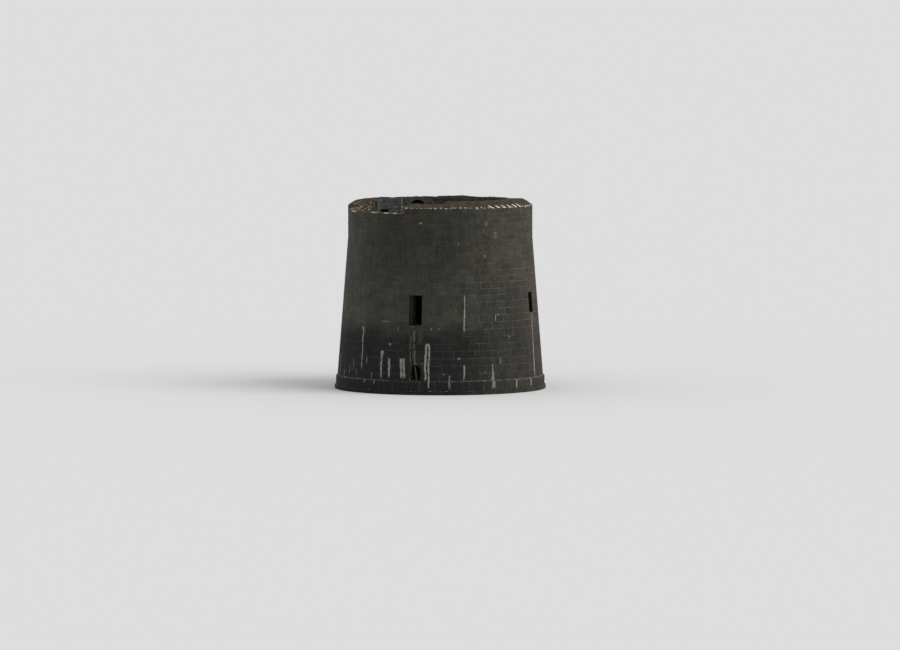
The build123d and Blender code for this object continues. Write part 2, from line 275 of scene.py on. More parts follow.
@dataclass(frozen=True)
class Wall:
    """The wall's driving dimensions, in metres and degrees, and the levels of its courses."""

    foot_radius: float = 6.700
    parapet_radius: float = 6.000
    base_radius: float = 6.800
    footing_radius: float = 6.900
    inner_radius: float = 4.500
    crest_radius: float = 4.850
    step_width: float = 0.65
    footing_top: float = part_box("base_course")[0].z
    base_top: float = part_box("base_course")[1].z
    parapet_foot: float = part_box("parapet_1")[0].z
    course_first: float = 0.494
    course_thinning: float = 0.0065
    to_ledge: int = 7
    to_sill: int = 8
    to_head: int = 12
    to_springing: int = 13
    to_parapet: int = 21
    to_broken_edge: int = 26
    courses: int = 27
    window_bearing: float = 82.5
    broken_from: float = -75.3
    gap_from: float = -51.3
    low_from: float = -8.5
    full_from: float = 20.0
    full_stretches: int = 6
    gap_fall: float = 0.070
    step_slope: float = 0.05
    shoulders: tuple[Pair, ...] = ((0.0, 0.0), (0.25, 0.48), (0.55, 0.74))

    def course_top(self, count: int) -> float:
        """Level of the bed on top of this many courses."""
        return self.base_top + count * self.course_first - self.course_thinning * count * (count - 1) / 2

    def radius(self, level: float) -> float:
        """Outer radius of the wall at a level."""
        share = held((level - self.base_top) / (self.parapet_foot - self.base_top))
        return self.foot_radius + (self.parapet_radius - self.foot_radius) * share

    def crest(self, bearing: float) -> float:
        """Level of the parapet's crest at a bearing in degrees.

        Args:
            bearing: degrees from the door.

        Returns:
            The level in metres.
        """
        around = bearing % 360
        if around > 360 + self.low_from or around < self.full_from:
            return CRESTS["parapet_lowered"]
        if around > 360 + self.gap_from:
            return self.broken_edge - self.gap_fall
        if around > 360 + self.broken_from:
            return CRESTS["parapet_spalled"]
        sweep = (360 + self.broken_from - self.full_from) / self.full_stretches
        stretch = min(self.full_stretches, 1 + int((around - self.full_from) / sweep))
        return CRESTS[f"parapet_{stretch}"]

    @property
    def edge(self) -> float:
        """Level of the sound parapet's outer edge."""
        return self.course_top(self.courses)

    @property
    def broken_edge(self) -> float:
        """Level of the edge where the top course has fallen."""
        return self.course_top(self.to_broken_edge)

    def eased_crest(self, bearing: float) -> float:
        """The crest's level, with each step between two stretches drawn out into a slope."""
        return max(self.crest(bearing + turn) - self.step_slope * abs(turn) for turn in range(-5, 6))

    def top_line(self, crest: float) -> list[Pair]:
        """The sound parapet's top, from its outer edge in to the crest.

        Args:
            crest: the crest's level.

        Returns:
            Pairs of radius and level.
        """
        shares = (*self.shoulders, (self.parapet_radius - self.crest_radius, 1.0))
        line = [(self.parapet_radius - run, self.edge + (crest - self.edge) * share) for run, share in shares]
        return line + [(self.inner_radius, crest)]


def along(line: Sequence[Pair], radius: float) -> float:
    """The level at a radius on a line that runs inwards.

    Args:
        line: pairs of radius and level.
        radius: distance from the axis.

    Returns:
        The level.
    """
    for (outer, low), (inner, high) in zip(line, line[1:]):
        if inner <= radius <= outer:
            return low + (high - low) * (outer - radius) / (outer - inner)
    return line[-1][1]


WALL = Wall()
WINDOW_BEARINGS = (WALL.window_bearing, 360 - WALL.window_bearing)
DOOR_HALF, LINTEL_HALF = 0.43, 0.70
WINDOW_HALF, WINDOW_LINTEL_HALF = 0.32, 0.52


@dataclass(frozen=True)
class Side:
    """A stone's end: a bearing, or a line that stands off from that bearing, in metres."""

    bearing: float
    offset: float = 0.0
    lean: float = 0.0
    foot: float = 0.0

    def angle(self, radius: float, level: float) -> float:
        """The end's bearing in radians, at a radius and a level."""
        aside = self.offset + self.lean * (level - self.foot)
        return math.radians(self.bearing) + math.asin(held(aside / radius, -1.0))


@dataclass(frozen=True)
class Skin:
    """One point of a stone's outer line: place, outward direction and how it is lifted."""

    radius: float
    level: float
    out: float = 1.0
    up: float = 0.0
    lift: int = 2


def bent(*spots: tuple) -> list[Skin]:
    """A stone's outer line, from the values of its points."""
    return [Skin(*spot) for spot in spots]


@dataclass(frozen=True)
class Dressing:
    """How a stone is worked, in metres."""

    joint: float = 0.026
    bevel: float = 0.014
    proud: float = 0.012
    sink: float = 0.012
    rough: float = 0.004
    ragged: float = 0.003
    columns: int = 4

    def upright(
        self, bottom: float, top: float, radius: Callable[[float], float], out: float = 1.0, steps: int = 3
    ) -> list[Skin]:
        """The outer line of a stone in an upright or battered face, from its lower bed up.

        Args:
            bottom: level of its lower bed.
            top: level of its upper bed.
            radius: the face's radius at a level.
            out: 1 for a face looking outwards, -1 for one looking at the axis.
            steps: how many stretches the face is split into.

        Returns:
            The line's points.
        """
        low, high = bottom + self.joint / 2, top - self.joint / 2
        first, last = low + self.bevel, high - self.bevel
        spots = [(low, 0), (low, 1)]
        spots += [(first + (last - first) * index / steps, 2) for index in range(steps + 1)]
        return [Skin(radius(level), level, out, 0.0, lift) for level, lift in spots + [(high, 1), (high, 0)]]


def grid(columns: int, rows: int, flip: bool = False, closed: bool = False) -> list[tuple[int, ...]]:
    """Faces of a sheet of points laid row by row.

    Args:
        columns: points in a row.
        rows: number of rows.
        flip: turns the faces round.
        closed: joins each row's end to its start.

    Returns:
        The faces, as point numbers.
    """
    faces = []
    for row in range(rows - 1):
        for column in range(columns if closed else columns - 1):
            here, after = row * columns + column, row * columns + (column + 1) % columns
            face = (here, after, after + columns, here + columns)
            faces.append(face[::-1] if flip else face)
    return faces


def ball() -> tuple[list[Vector], list[tuple[int, ...]]]:
    """The points and faces of an even ball.

    Returns:
        The points, then the faces as point numbers.
    """
    made = bmesh.new()
    bmesh.ops.create_icosphere(made, subdivisions=2, radius=1.0)
    points = [vertex.co.copy() for vertex in made.verts]
    faces = [tuple(vertex.index for vertex in face.verts) for face in made.faces]
    made.free()
    return points, faces


def chance(rng: random.Random, *limits: float) -> Vector:
    """A direction of chance, each part between 0 and its limit."""
    return Vector([rng.uniform(0, limit) if limit else 0.0 for limit in limits])


class Batch:
    """Many small stones gathered into one mesh."""

    ball: ClassVar[tuple[list[Vector], list[tuple[int, ...]]]] = ball()

    def __init__(self, name: str, rng: random.Random, dressing: Dressing = Dressing()) -> None:
        """Starts an empty batch.

        Args:
            name: the finished piece's name.
            rng: the source of chance.
            dressing: how its stones are worked.
        """
        self.name, self.rng, self.dressing = name, rng, dressing
        self.points: list[Point] = []
        self.faces: list[tuple[int, ...]] = []
        self.stored: dict[str, list[float]] = {"tone": [], "hue": []}

    def add(self, points: Sequence[Point], faces: Iterable[Sequence[int]], *stored: Optional[float]) -> None:
        """Adds one stone.

        Args:
            points: its vertices.
            faces: its faces, numbered from its own first vertex.
            stored: how light and how warm it is, 0 to 1, or None for chance.
        """
        start = len(self.points)
        self.points.extend(points)
        self.faces.extend(tuple(start + index for index in face) for face in faces)
        for values, value in zip(self.stored.values(), (*stored, None, None)):
            values.extend([self.rng.random() if value is None else value] * len(points))

    def stone(
        self, left: Side, right: Side, skin: Sequence[Skin], tone: Optional[float] = None, flip: bool = False
    ) -> None:
        """Adds one worked stone between two ends, curved with the wall.

        Args:
            left: its left end, seen from outside.
            right: its right end.
            skin: its outer line from one bed to the other.
            tone: how light it is, or None for chance.
            flip: True for a stone that faces the tower's axis.
        """
        work = self.dressing
        lifts = (-work.sink, work.proud - work.bevel, work.proud)
        seed = chance(self.rng, 90, 90, 90)
        middle = skin[len(skin) // 2]
        turn = right.angle(middle.radius, middle.level) - left.angle(middle.radius, middle.level)
        length = turn * middle.radius
        bevel = min(0.3, work.bevel / max(length, 0.05))
        inner = [(bevel + (1 - 2 * bevel) * index / work.columns, 2) for index in range(work.columns + 1)]
        shares = [(0.0, 0), (0.0, 1), *inner, (1.0, 1), (1.0, 0)]
        points = []
        for spot in skin:
            inset = work.joint / 2 / spot.radius
            for share, column_lift in shares:
                lift = lifts[min(spot.lift, column_lift)]
                if spot.lift == column_lift == 2:
                    where = Vector((share * length * 3, spot.level * 3, spot.radius * 3)) + seed
                    lift += work.rough * noise.noise(where) * 1.6
                end = Vector((spot.level * 7, spot.radius * 7, 3.0 if share < 0.5 else 9.0))
                wave = work.ragged * noise.noise(end + seed) / spot.radius
                first = left.angle(spot.radius, spot.level) + inset + wave
                last = right.angle(spot.radius, spot.level) - inset + wave
                angle = first + (last - first) * share
                points.append(place(spot.radius + spot.out * lift, angle, spot.level + spot.up * lift))
        self.add(points, grid(len(shares), len(skin), flip), tone)

    def fillet(self, profile: Sequence[Pair], first: float, last: float, wobble: float) -> None:
        """Adds a fillet that follows the wall between two bearings, thinning out at its ends.

        Args:
            profile: its outer line as pairs of radius and level, from the low edge up.
            first: bearing of its start, in radians.
            last: bearing of its end.
            wobble: how uneven it is, in metres.
        """
        steps = max(4, int((last - first) * WALL.foot_radius / 0.09))
        seed = chance(self.rng, 50, 50, 0)
        inner_radius, inner_level = profile[-1]
        points = []
        for row, (radius, level) in enumerate(profile):
            for step in range(steps + 1):
                share = step / steps
                end = min(1.0, 6 * min(share, 1 - share) + 0.02)
                shift = wobble * noise.noise(Vector((share * (last - first) * 40, row * 1.7, 0)) + seed)
                here = inner_radius + (radius - inner_radius) * end + shift
                height = inner_level + (level - inner_level) * end + shift * 0.5
                points.append(place(here, first + (last - first) * share, height if row else level))
        self.add(points, grid(steps + 1, len(profile)))

    def slab(self, shape: Sequence[Pair], bottom: float, top: float, edge: float) -> None:
        """Adds a flat slab or board with eased upper edges, unless it is a sliver.

        Args:
            shape: its corners in plan, in order.
            bottom: its underside.
            top: its upper face.
            edge: how far its upper edge is eased.
        """
        count = len(shape)
        if count < 3:
            return
        mid_x, mid_y = (sum(corner[axis] for corner in shape) / count for axis in (0, 1))
        size = max(math.hypot(x - mid_x, y - mid_y) for x, y in shape)
        if size < 0.08:
            return
        tilt_x, tilt_y = (self.rng.uniform(-0.002, 0.002) for _ in range(2))
        points = []
        for level, share in ((bottom, 1.0), (top - edge, 1.0), (top, 1 - min(0.4, edge / size))):
            for x, y in shape:
                dx, dy = (x - mid_x) * share, (y - mid_y) * share
                lean = tilt_x * dx + tilt_y * dy if level > bottom else 0.0
                points.append((mid_x + dx, mid_y + dy, level + lean))
        faces = [tuple(range(count))[::-1], tuple(range(2 * count, 3 * count)), *grid(count, 3, closed=True)]
        self.add(points, faces)

    def rock(self, centre: Sequence[float], size: Sequence[float], ceiling: float = 99.0) -> None:
        """Adds one broken stone, cut from a ball by planes of chance.

        Args:
            centre: its middle.
            size: its half sizes.
            ceiling: the level that it stays under.
        """
        rng = self.rng
        seed = chance(rng, 80, 80, 80)
        planes = [Vector([rng.gauss(0, 1) for _ in range(3)]).normalized() for _ in range(7)]
        depths = [rng.uniform(0.62, 0.88) for _ in planes]
        turn = rng.uniform(0, math.tau)
        cosine, sine = math.cos(turn), math.sin(turn)
        made = []
        for point in self.ball[0]:
            shape = point.copy()
            for plane, depth in zip(planes, depths):
                shape -= plane * max(0.0, shape.dot(plane) - depth)
            shape *= 1 + 0.16 * noise.noise(point * 1.9 + seed)
            x, y, z = (part * half for part, half in zip(shape, size))
            level = min(ceiling, centre[2] + z)
            made.append((centre[0] + x * cosine - y * sine, centre[1] + x * sine + y * cosine, level))
        self.add(made, self.ball[1])

    def piece(self, finish: "Finish", slot: str, sharp: float = 38.0, name: str = "") -> bpy.types.Object:
        """Turns the batch into one piece that rides on the tower.

        Args:
            finish: what it is made of.
            slot: not used.
            sharp: the angle in degrees above which an edge stays crisp.
            name: the material's name where it isn't the piece's.

        Returns:
            The new object.
        """
        mesh = bpy.data.meshes.new(self.name)
        mesh.from_pydata(self.points, [], self.faces)
        for label, values in self.stored.items():
            mesh.attributes.new(label, "FLOAT", "POINT").data.foreach_set("value", values)
        mesh.shade_smooth()
        mesh.set_sharp_from_angle(angle=math.radians(sharp))
        mesh.materials.append(finish.material(name or self.name))
        made = bpy.data.objects.new(self.name, mesh)
        bpy.context.scene.collection.objects.link(made)
        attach(made, "root")
        log.info("%s: %d faces", self.name, len(self.faces))
        return made


# Runs and spots on the wall


class StainOrShade(Enum):
    """What a run or a spot on the wall is made of, by colour; SHADE is painted shade, not a stain."""

    LIME = seen(152, 151, 144)
    WHITE = seen(178, 176, 170)
    CREAM = seen(158, 150, 126)
    BEIGE = seen(140, 126, 106)
    RUST = seen(92, 60, 52)
    ORANGE = seen(94, 74, 54)
    TEAL = seen(60, 92, 90)
    OLIVE = seen(58, 57, 47)
    GREEN = seen(94, 95, 88)
    BLUE = seen(74, 77, 78)
    PURPLE = seen(52, 38, 42)
    SLATE = seen(88, 93, 94)
    # painted shade, laid as a run where the wall is in shadow
    SHADE = seen(24, 26, 30)
    DARK = seen(20, 21, 21)


@dataclass(frozen=True)
class Run:
    """A run down the wall or a spot on it: bearing at its top, levels, width, drift and kind."""

    bearing: float
    top: float
    foot: float
    width: float
    kind: StainOrShade = StainOrShade.LIME
    drift: float = 0.0
    share: float = 0.85
    fan: float = 0.0

    @property
    def centre(self) -> float:
        """The bearing at its top, from -180 to 180."""
        return (self.bearing + 180) % 360 - 180


RUNS: tuple[Run, ...] = (
    Run(-35.2, 4.20, 1.44, 0.16),
    Run(-35.9, 4.24, 4.06, 0.36),
    Run(-31.3, 2.34, 1.83, 0.13, share=0.6),
    Run(-20.0, 2.82, 2.45, 0.34),
    Run(-20.4, 2.60, 0.95, 0.19),
    Run(-15.2, 2.34, 1.02, 0.24, drift=0.4),
    Run(-7.9, 2.36, 1.00, 0.23, drift=0.6),
    Run(-6.2, 2.37, 1.00, 0.23, drift=0.4, share=0.75),
    Run(6.4, 3.28, 0.87, 0.21, drift=-0.1, share=0.8),
    Run(8.2, 3.29, 0.40, 0.17),
    Run(7.3, 3.32, 3.05, 0.36),
    Run(29.0, 6.40, 5.20, 0.10, drift=-0.3),
    Run(28.75, 5.55, 3.95, 0.14, drift=-0.4),
    Run(27.9, 1.96, 0.90, 0.15, drift=-0.1),
    Run(45.2, 1.98, 0.30, 0.11, drift=-0.3, share=0.7, fan=0.22),
    Run(61.4, 0.90, 0.28, 0.18, drift=-0.2),
    Run(74.3, 0.92, 0.26, 0.19),
    Run(82.7, 5.06, 2.90, 0.26, StainOrShade.BEIGE, drift=-0.9),
    Run(81.8, 3.10, 0.88, 0.24, StainOrShade.CREAM, drift=-1.0),
    Run(48.5, 5.14, 4.62, 0.10),
    Run(50.4, 5.14, 5.02, 0.30, share=0.6),
    Run(50.1, 2.37, 1.83, 0.10, share=0.6),
    Run(100.9, 1.20, 0.72, 0.24),
    Run(19.6, 1.28, 0.34, 0.12, share=0.7),
    Run(-26.9, 1.38, 0.92, 0.13),
    Run(-31.5, 0.93, 0.60, 0.14),
    Run(-24.3, 0.90, 0.55, 0.16),
    Run(16.4, 1.41, 1.15, 0.09, share=0.6),
    Run(-43.0, 2.20, 1.30, 0.10, share=0.5),
    Run(-47.0, 1.75, 1.05, 0.10, share=0.5),
    Run(-40.0, 1.60, 0.90, 0.10, share=0.4),
    Run(-2.4, 4.44, 4.27, 0.36, StainOrShade.RUST),
    Run(-0.9, 4.44, 4.24, 0.40, StainOrShade.RUST, share=0.6),
    Run(-3.6, 4.38, 3.73, 0.22, StainOrShade.OLIVE, share=0.7),
    Run(-2.5, 3.85, 2.77, 0.17, StainOrShade.ORANGE, share=0.8),
    Run(-0.6, 4.17, 3.28, 0.26, StainOrShade.SLATE, share=0.7),
    Run(-0.3, 3.30, 2.86, 0.26, StainOrShade.TEAL, share=0.95),
    Run(-0.5, 2.84, 2.30, 0.14, StainOrShade.TEAL, share=0.5),
    Run(-2.3, 2.77, 1.98, 0.11, StainOrShade.LIME, share=0.35),
    Run(0.3, 2.90, 1.98, 0.11, StainOrShade.LIME, share=0.45),
    Run(-1.2, 2.45, 1.98, 0.16, StainOrShade.PURPLE, share=0.8),
    Run(3.1, 4.40, 3.22, 0.40, StainOrShade.OLIVE, share=0.75),
    Run(2.45, 11.05, 10.92, 0.36, StainOrShade.CREAM),
    Run(43.8, 11.08, 10.70, 0.44, StainOrShade.BEIGE, share=0.42),
    Run(42.2, 10.75, 10.30, 0.10, StainOrShade.CREAM, share=0.4),
    Run(51.0, 10.36, 10.23, 0.34, StainOrShade.CREAM, share=0.7),
    Run(51.0, 10.11, 9.98, 0.32, StainOrShade.CREAM, share=0.6),
    Run(42.5, 8.95, 8.70, 0.11, StainOrShade.WHITE),
    Run(25.7, 9.70, 9.60, 0.12, share=0.7),
    Run(-15.05, 3.27, 3.12, 0.28, share=0.8),
    Run(9.4, 4.30, 4.14, 0.14, share=0.6),
    Run(14.1, 4.30, 4.14, 0.12, share=0.6),
    Run(-10.3, 4.36, 4.05, 0.11, share=0.5),
    Run(0.5, 2.04, 1.96, 0.28, share=0.6),
    Run(4.3, 2.04, 1.94, 0.20, share=0.4),
    Run(4.4, 1.94, 0.95, 0.36, StainOrShade.DARK, share=0.6),
    Run(25.0, 2.38, 2.24, 0.26, StainOrShade.CREAM),
    Run(40.2, 1.46, 1.34, 0.12),
    Run(-18.6, 4.69, 4.62, 0.93, share=0.6),
    Run(12.35, 9.62, 8.75, 0.20, StainOrShade.DARK, share=0.75),
    Run(14.5, 3.95, 3.45, 0.12, StainOrShade.OLIVE, share=0.5),
    Run(58.0, 3.72, 3.50, 0.24, StainOrShade.CREAM, share=0.35),
    Run(128.0, 3.30, 0.95, 0.17),
    Run(142.0, 2.40, 0.90, 0.20),
    Run(163.0, 5.10, 2.70, 0.12),
    Run(171.0, 2.35, 0.28, 0.22, fan=0.10),
    Run(196.0, 1.95, 0.88, 0.14),
    Run(205.0, 3.30, 0.92, 0.18, drift=0.6),
    Run(222.0, 2.36, 1.00, 0.24),
    Run(241.0, 4.20, 1.50, 0.15),
    Run(258.0, 2.80, 0.30, 0.18),
    Run(276.8, 5.02, 1.20, 0.24, StainOrShade.BEIGE, drift=0.8),
    Run(297.0, 2.34, 0.90, 0.14),
    Run(306.0, 1.40, 0.80, 0.12),
)


@dataclass(frozen=True)
class Reach:
    """The bearings, in degrees from -180 to 180, and the levels that a piece covers."""

    foot: float
    top: float
    low: float = -180.0
    high: float = 180.0

    def runs(self) -> tuple[Run, ...]:
        """The runs that come within this reach."""
        return tuple(run for run in RUNS if self.holds(run))

    def holds(self, run: Run) -> bool:
        """Says whether a run comes within this reach.

        Args:
            run: the run.

        Returns:
            True if any of it may show there.
        """
        aside = math.degrees(0.6 * (run.width + run.fan) / WALL.foot_radius) + abs(run.drift) + 0.5
        if run.foot - 0.1 >= self.top or run.top + 0.1 <= self.foot:
            return False
        return any(self.low - aside < run.centre + turn < self.high + aside for turn in (-360, 0, 360))

    @classmethod
    def of(cls, points: Iterable[Sequence[float]]) -> "Reach":
        """The reach of the points, among these, that lie near the wall's outer face.

        Args:
            points: the piece's points.

        Returns:
            The reach, or an empty one where none lies near the face.
        """
        outer = [point for point in points if math.hypot(point[0], point[1]) > 5.8]
        if not outer:
            return cls(-9.0, -9.0, 0.0, 0.0)
        levels = [point[2] for point in outer]
        bearings = [math.degrees(math.atan2(point[0], -point[1])) for point in outer]
        for around in (bearings, [bearing % 360 for bearing in bearings]):
            if max(around) - min(around) <= 200:
                return cls(min(levels), max(levels), min(around), max(around))
        return cls(min(levels), max(levels))


# Finishes


class Weather(Graph):
    """A material's nodes, with the colours and patterns that every outdoor stone of the tower shares."""

    centre = seen(47, 47, 42)
    centre_low = seen(54, 54, 49)
    left = seen(65, 66, 60)
    right = seen(46, 46, 43)
    # partly painted light: the upper right is made lighter on the lamp's side
    high_right_lit = seen(67, 63, 56)
    damp = seen(24, 25, 25)
    # partly painted light: the dark damp foot is made lighter on the lit right side
    damp_lit_right = seen(52, 51, 47)
    olive = seen(58, 55, 40)
    brown = seen(66, 48, 31)
    ochre = seen(102, 78, 50)
    dark = seen(24, 25, 20)

    @cached_property
    def bearing(self) -> Wire:
        """The bearing from the door, in degrees."""
        x, y, _ = self.axes
        return self.math("ARCTAN2", x, y * -1.0) * math.degrees(1.0)

    @cached_property
    def aside(self) -> Wire:
        """How far to the right the point stands, -1 to 1."""
        x, y, _ = self.axes
        return x / self.math("SQRT", x * x + y * y + 0.01)

    def tone(self) -> Wire:
        """The stone's colour before grain: lighter and browner to the right, the lightness there partly painted light
        on the lamp's side, blacker low down.

        Returns:
            The colour.
        """
        level = self.axes[2]
        cloudy = self.aside + (self.grain(0.45, 3.0) - 0.5) * 0.35
        right = self.ramp(cloudy, 0.35, 1.02)
        dry = self.mix(self.ramp(level, 9.0, 6.2), self.centre, self.centre_low)
        dry = self.mix(self.ramp(cloudy, -0.22, -0.95), dry, self.left)
        dry = self.mix(right, dry, self.mix(self.ramp(level, 6.0, 9.0), self.right, self.high_right_lit))
        # painted light: the side that faces the lamp is made lighter still
        dry = self.mix(self.ramp(self.aside, 0.84, 1.0) * 0.7, dry, self.high_right_lit)
        patch = self.grain(0.8, 4.0, (1.0, 1.0, 0.45), 3.0)
        low = self.ramp(level + (patch - 0.5) * 2.2, 4.9, 3.3)
        return self.mix(low, dry, self.mix(right, self.damp, self.damp_lit_right))

    def streaks(self) -> Wire:
        """Rain streaks down the wall, about 1 on average.

        Returns:
            How light the streaks leave the stone.
        """
        wide = self.grain(1.6, 4.0, (1.0, 1.0, 0.12), 7.0)
        narrow = self.grain(5.0, 4.0, (1.0, 1.0, 0.22), 11.0)
        beds = self.grain(1.4, 4.0, (1.0, 1.0, 5.0), 13.0)
        return wide * 0.9 + narrow * 1.3 + beds * 0.8 - 0.5

    def runs(self, colour: Wire, listed: Sequence[Run]) -> Wire:
        """Lays runs and spots over a colour, with painted shade among them where a run's kind is SHADE.

        Args:
            colour: the wall's colour.
            listed: the runs that come within the piece's reach.

        Returns:
            The wall's colour with its runs.
        """
        if not listed:
            return colour
        level = self.axes[2]
        wander = self.grain(1.3, 3.0, (1.0, 1.0, 1.0), 17.0) - 0.5
        half_width = self.grain(3.5, 3.0, (1.0, 1.0, 0.8), 23.0) * 1.5 + 0.25
        worn = self.ramp(self.grain(9.0, 3.0, (1.0, 1.0, 0.6), 29.0), 0.28, 0.58) * 0.65 + 0.35
        dirt = self.ramp(self.grain(4.5, 4.0, (1.0, 1.0, 0.7), 37.0), 0.46, 0.62) * 0.55
        dirty_lime = self.mix(dirt, StainOrShade.LIME.value, StainOrShade.BEIGE.value)
        metres_a_degree = 6.5 * math.radians(1.0)
        for run in listed:
            height = max(0.05, run.top - run.foot)
            drop = (run.top - level) * (1.0 / height)
            drift = drop * run.drift + (wander * 1.6 if height > 0.5 else 0.0)
            half = half_width * (run.width * 0.35)
            if run.fan:
                half = half + drop * (run.fan / 2)
            across = self.ramp(abs(self.bearing - run.centre - drift) * metres_a_degree / half, 1.15, 0.55)
            soft = min(0.12, height * 0.4)
            ends = self.ramp(level, run.top + 0.03, run.top - soft)
            ends = ends * self.ramp(level, run.foot - 0.02, run.foot + soft * 2)
            kind = dirty_lime if run.kind is StainOrShade.LIME else run.kind.value
            colour = self.mix(across * ends * worn * run.share, colour, kind)
        return colour

    def turf(self) -> Wire:
        """Mottled turf and moss.

        Returns:
            The colour.
        """
        tuft = self.grain(3.6, 5.0, (1.0, 1.0, 2.0), 53.0) + (self.grain(9.0, 5.0, shift=59.0) - 0.5) * 0.6
        base = self.mix(self.ramp(self.grain(1.2, 4.0, shift=51.0), 0.40, 0.62), self.olive, self.brown)
        base = self.mix(self.ramp(tuft, 0.54, 0.68) * 0.85, base, self.ochre)
        return self.mix(self.ramp(tuft, 0.48, 0.36), base, self.dark)

    def mossed(self, colour: Wire, share: float) -> Wire:
        """A colour with moss over the parts that face the sky.

        Args:
            colour: what it grows on.
            share: how much of the flat parts it takes, or 0 for none.

        Returns:
            The colour with its moss.
        """
        if not share:
            return colour
        up = self.split(self.node("NewGeometry", output="Normal"))[2]
        grown = self.ramp(self.grain(3.2, 5.0, shift=57.0) + share * 0.4, 0.55, 0.75)
        return self.mix(self.ramp(up, 0.35, 0.75) * grown, colour, self.turf())


@dataclass(frozen=True)
class Finish:
    """A finish, with its colours and what it covers as fields."""

    def material(self, name: str) -> bpy.types.Material:
        """Makes the finish.

        Args:
            name: the material's name.

        Returns:
            The material.
        """
        made = bpy.data.materials.new(name)
        self.paint(Weather(made))
        return made

    def paint(self, on: Weather) -> None:
        """Adds the finish's nodes to a material's tree."""
        raise NotImplementedError


@dataclass(frozen=True)
class FacingStone(Finish):
    """Squared granite facing: rain-streaked, blacker near the ground, with lime runs."""

    listed: Sequence[Run]
    moss: float = 0.0
    speck: Colour = seen(100, 98, 92)
    warm: Colour = (1.10, 1.0, 0.86)
    lichen: Colour = seen(96, 86, 58)

    def paint(self, on: Weather) -> None:
        """Adds the stone's grain, tints, specks, lichen and runs to its weathered tone.

        Args:
            on: the material's nodes.
        """
        colour = on.tone()
        fine, speck = on.grain(26.0, 5.0), on.grain(90.0, 2.0)
        mottle = on.grain(7.0, 4.0, (1.0, 1.0, 1.3), 19.0)
        light = (on.stored("tone") * 0.34 + 0.82) * on.streaks() * (fine * 0.5 + 0.75) * (mottle * 1.1 + 0.45)
        tint = on.mix(on.ramp(on.stored("hue"), 0.55, 1.0), (1.0, 1.0, 1.0), self.warm)
        colour = on.mix(1.0, on.shaded(colour, light), tint, "MULTIPLY")
        lichen = on.ramp(on.grain(2.4, 5.0, shift=31.0), 0.60, 0.72) * on.ramp(on.aside, 0.0, 0.9)
        colour = on.mix(lichen * 0.30, colour, self.lichen)
        colour = on.mix(on.ramp(speck, 0.62, 0.75) * 0.25, colour, self.speck)
        colour = on.mossed(on.runs(colour, self.listed), self.moss)
        on.surface(colour, 0.93 - fine * 0.12, fine * 0.7 + speck * 0.3, 0.006)


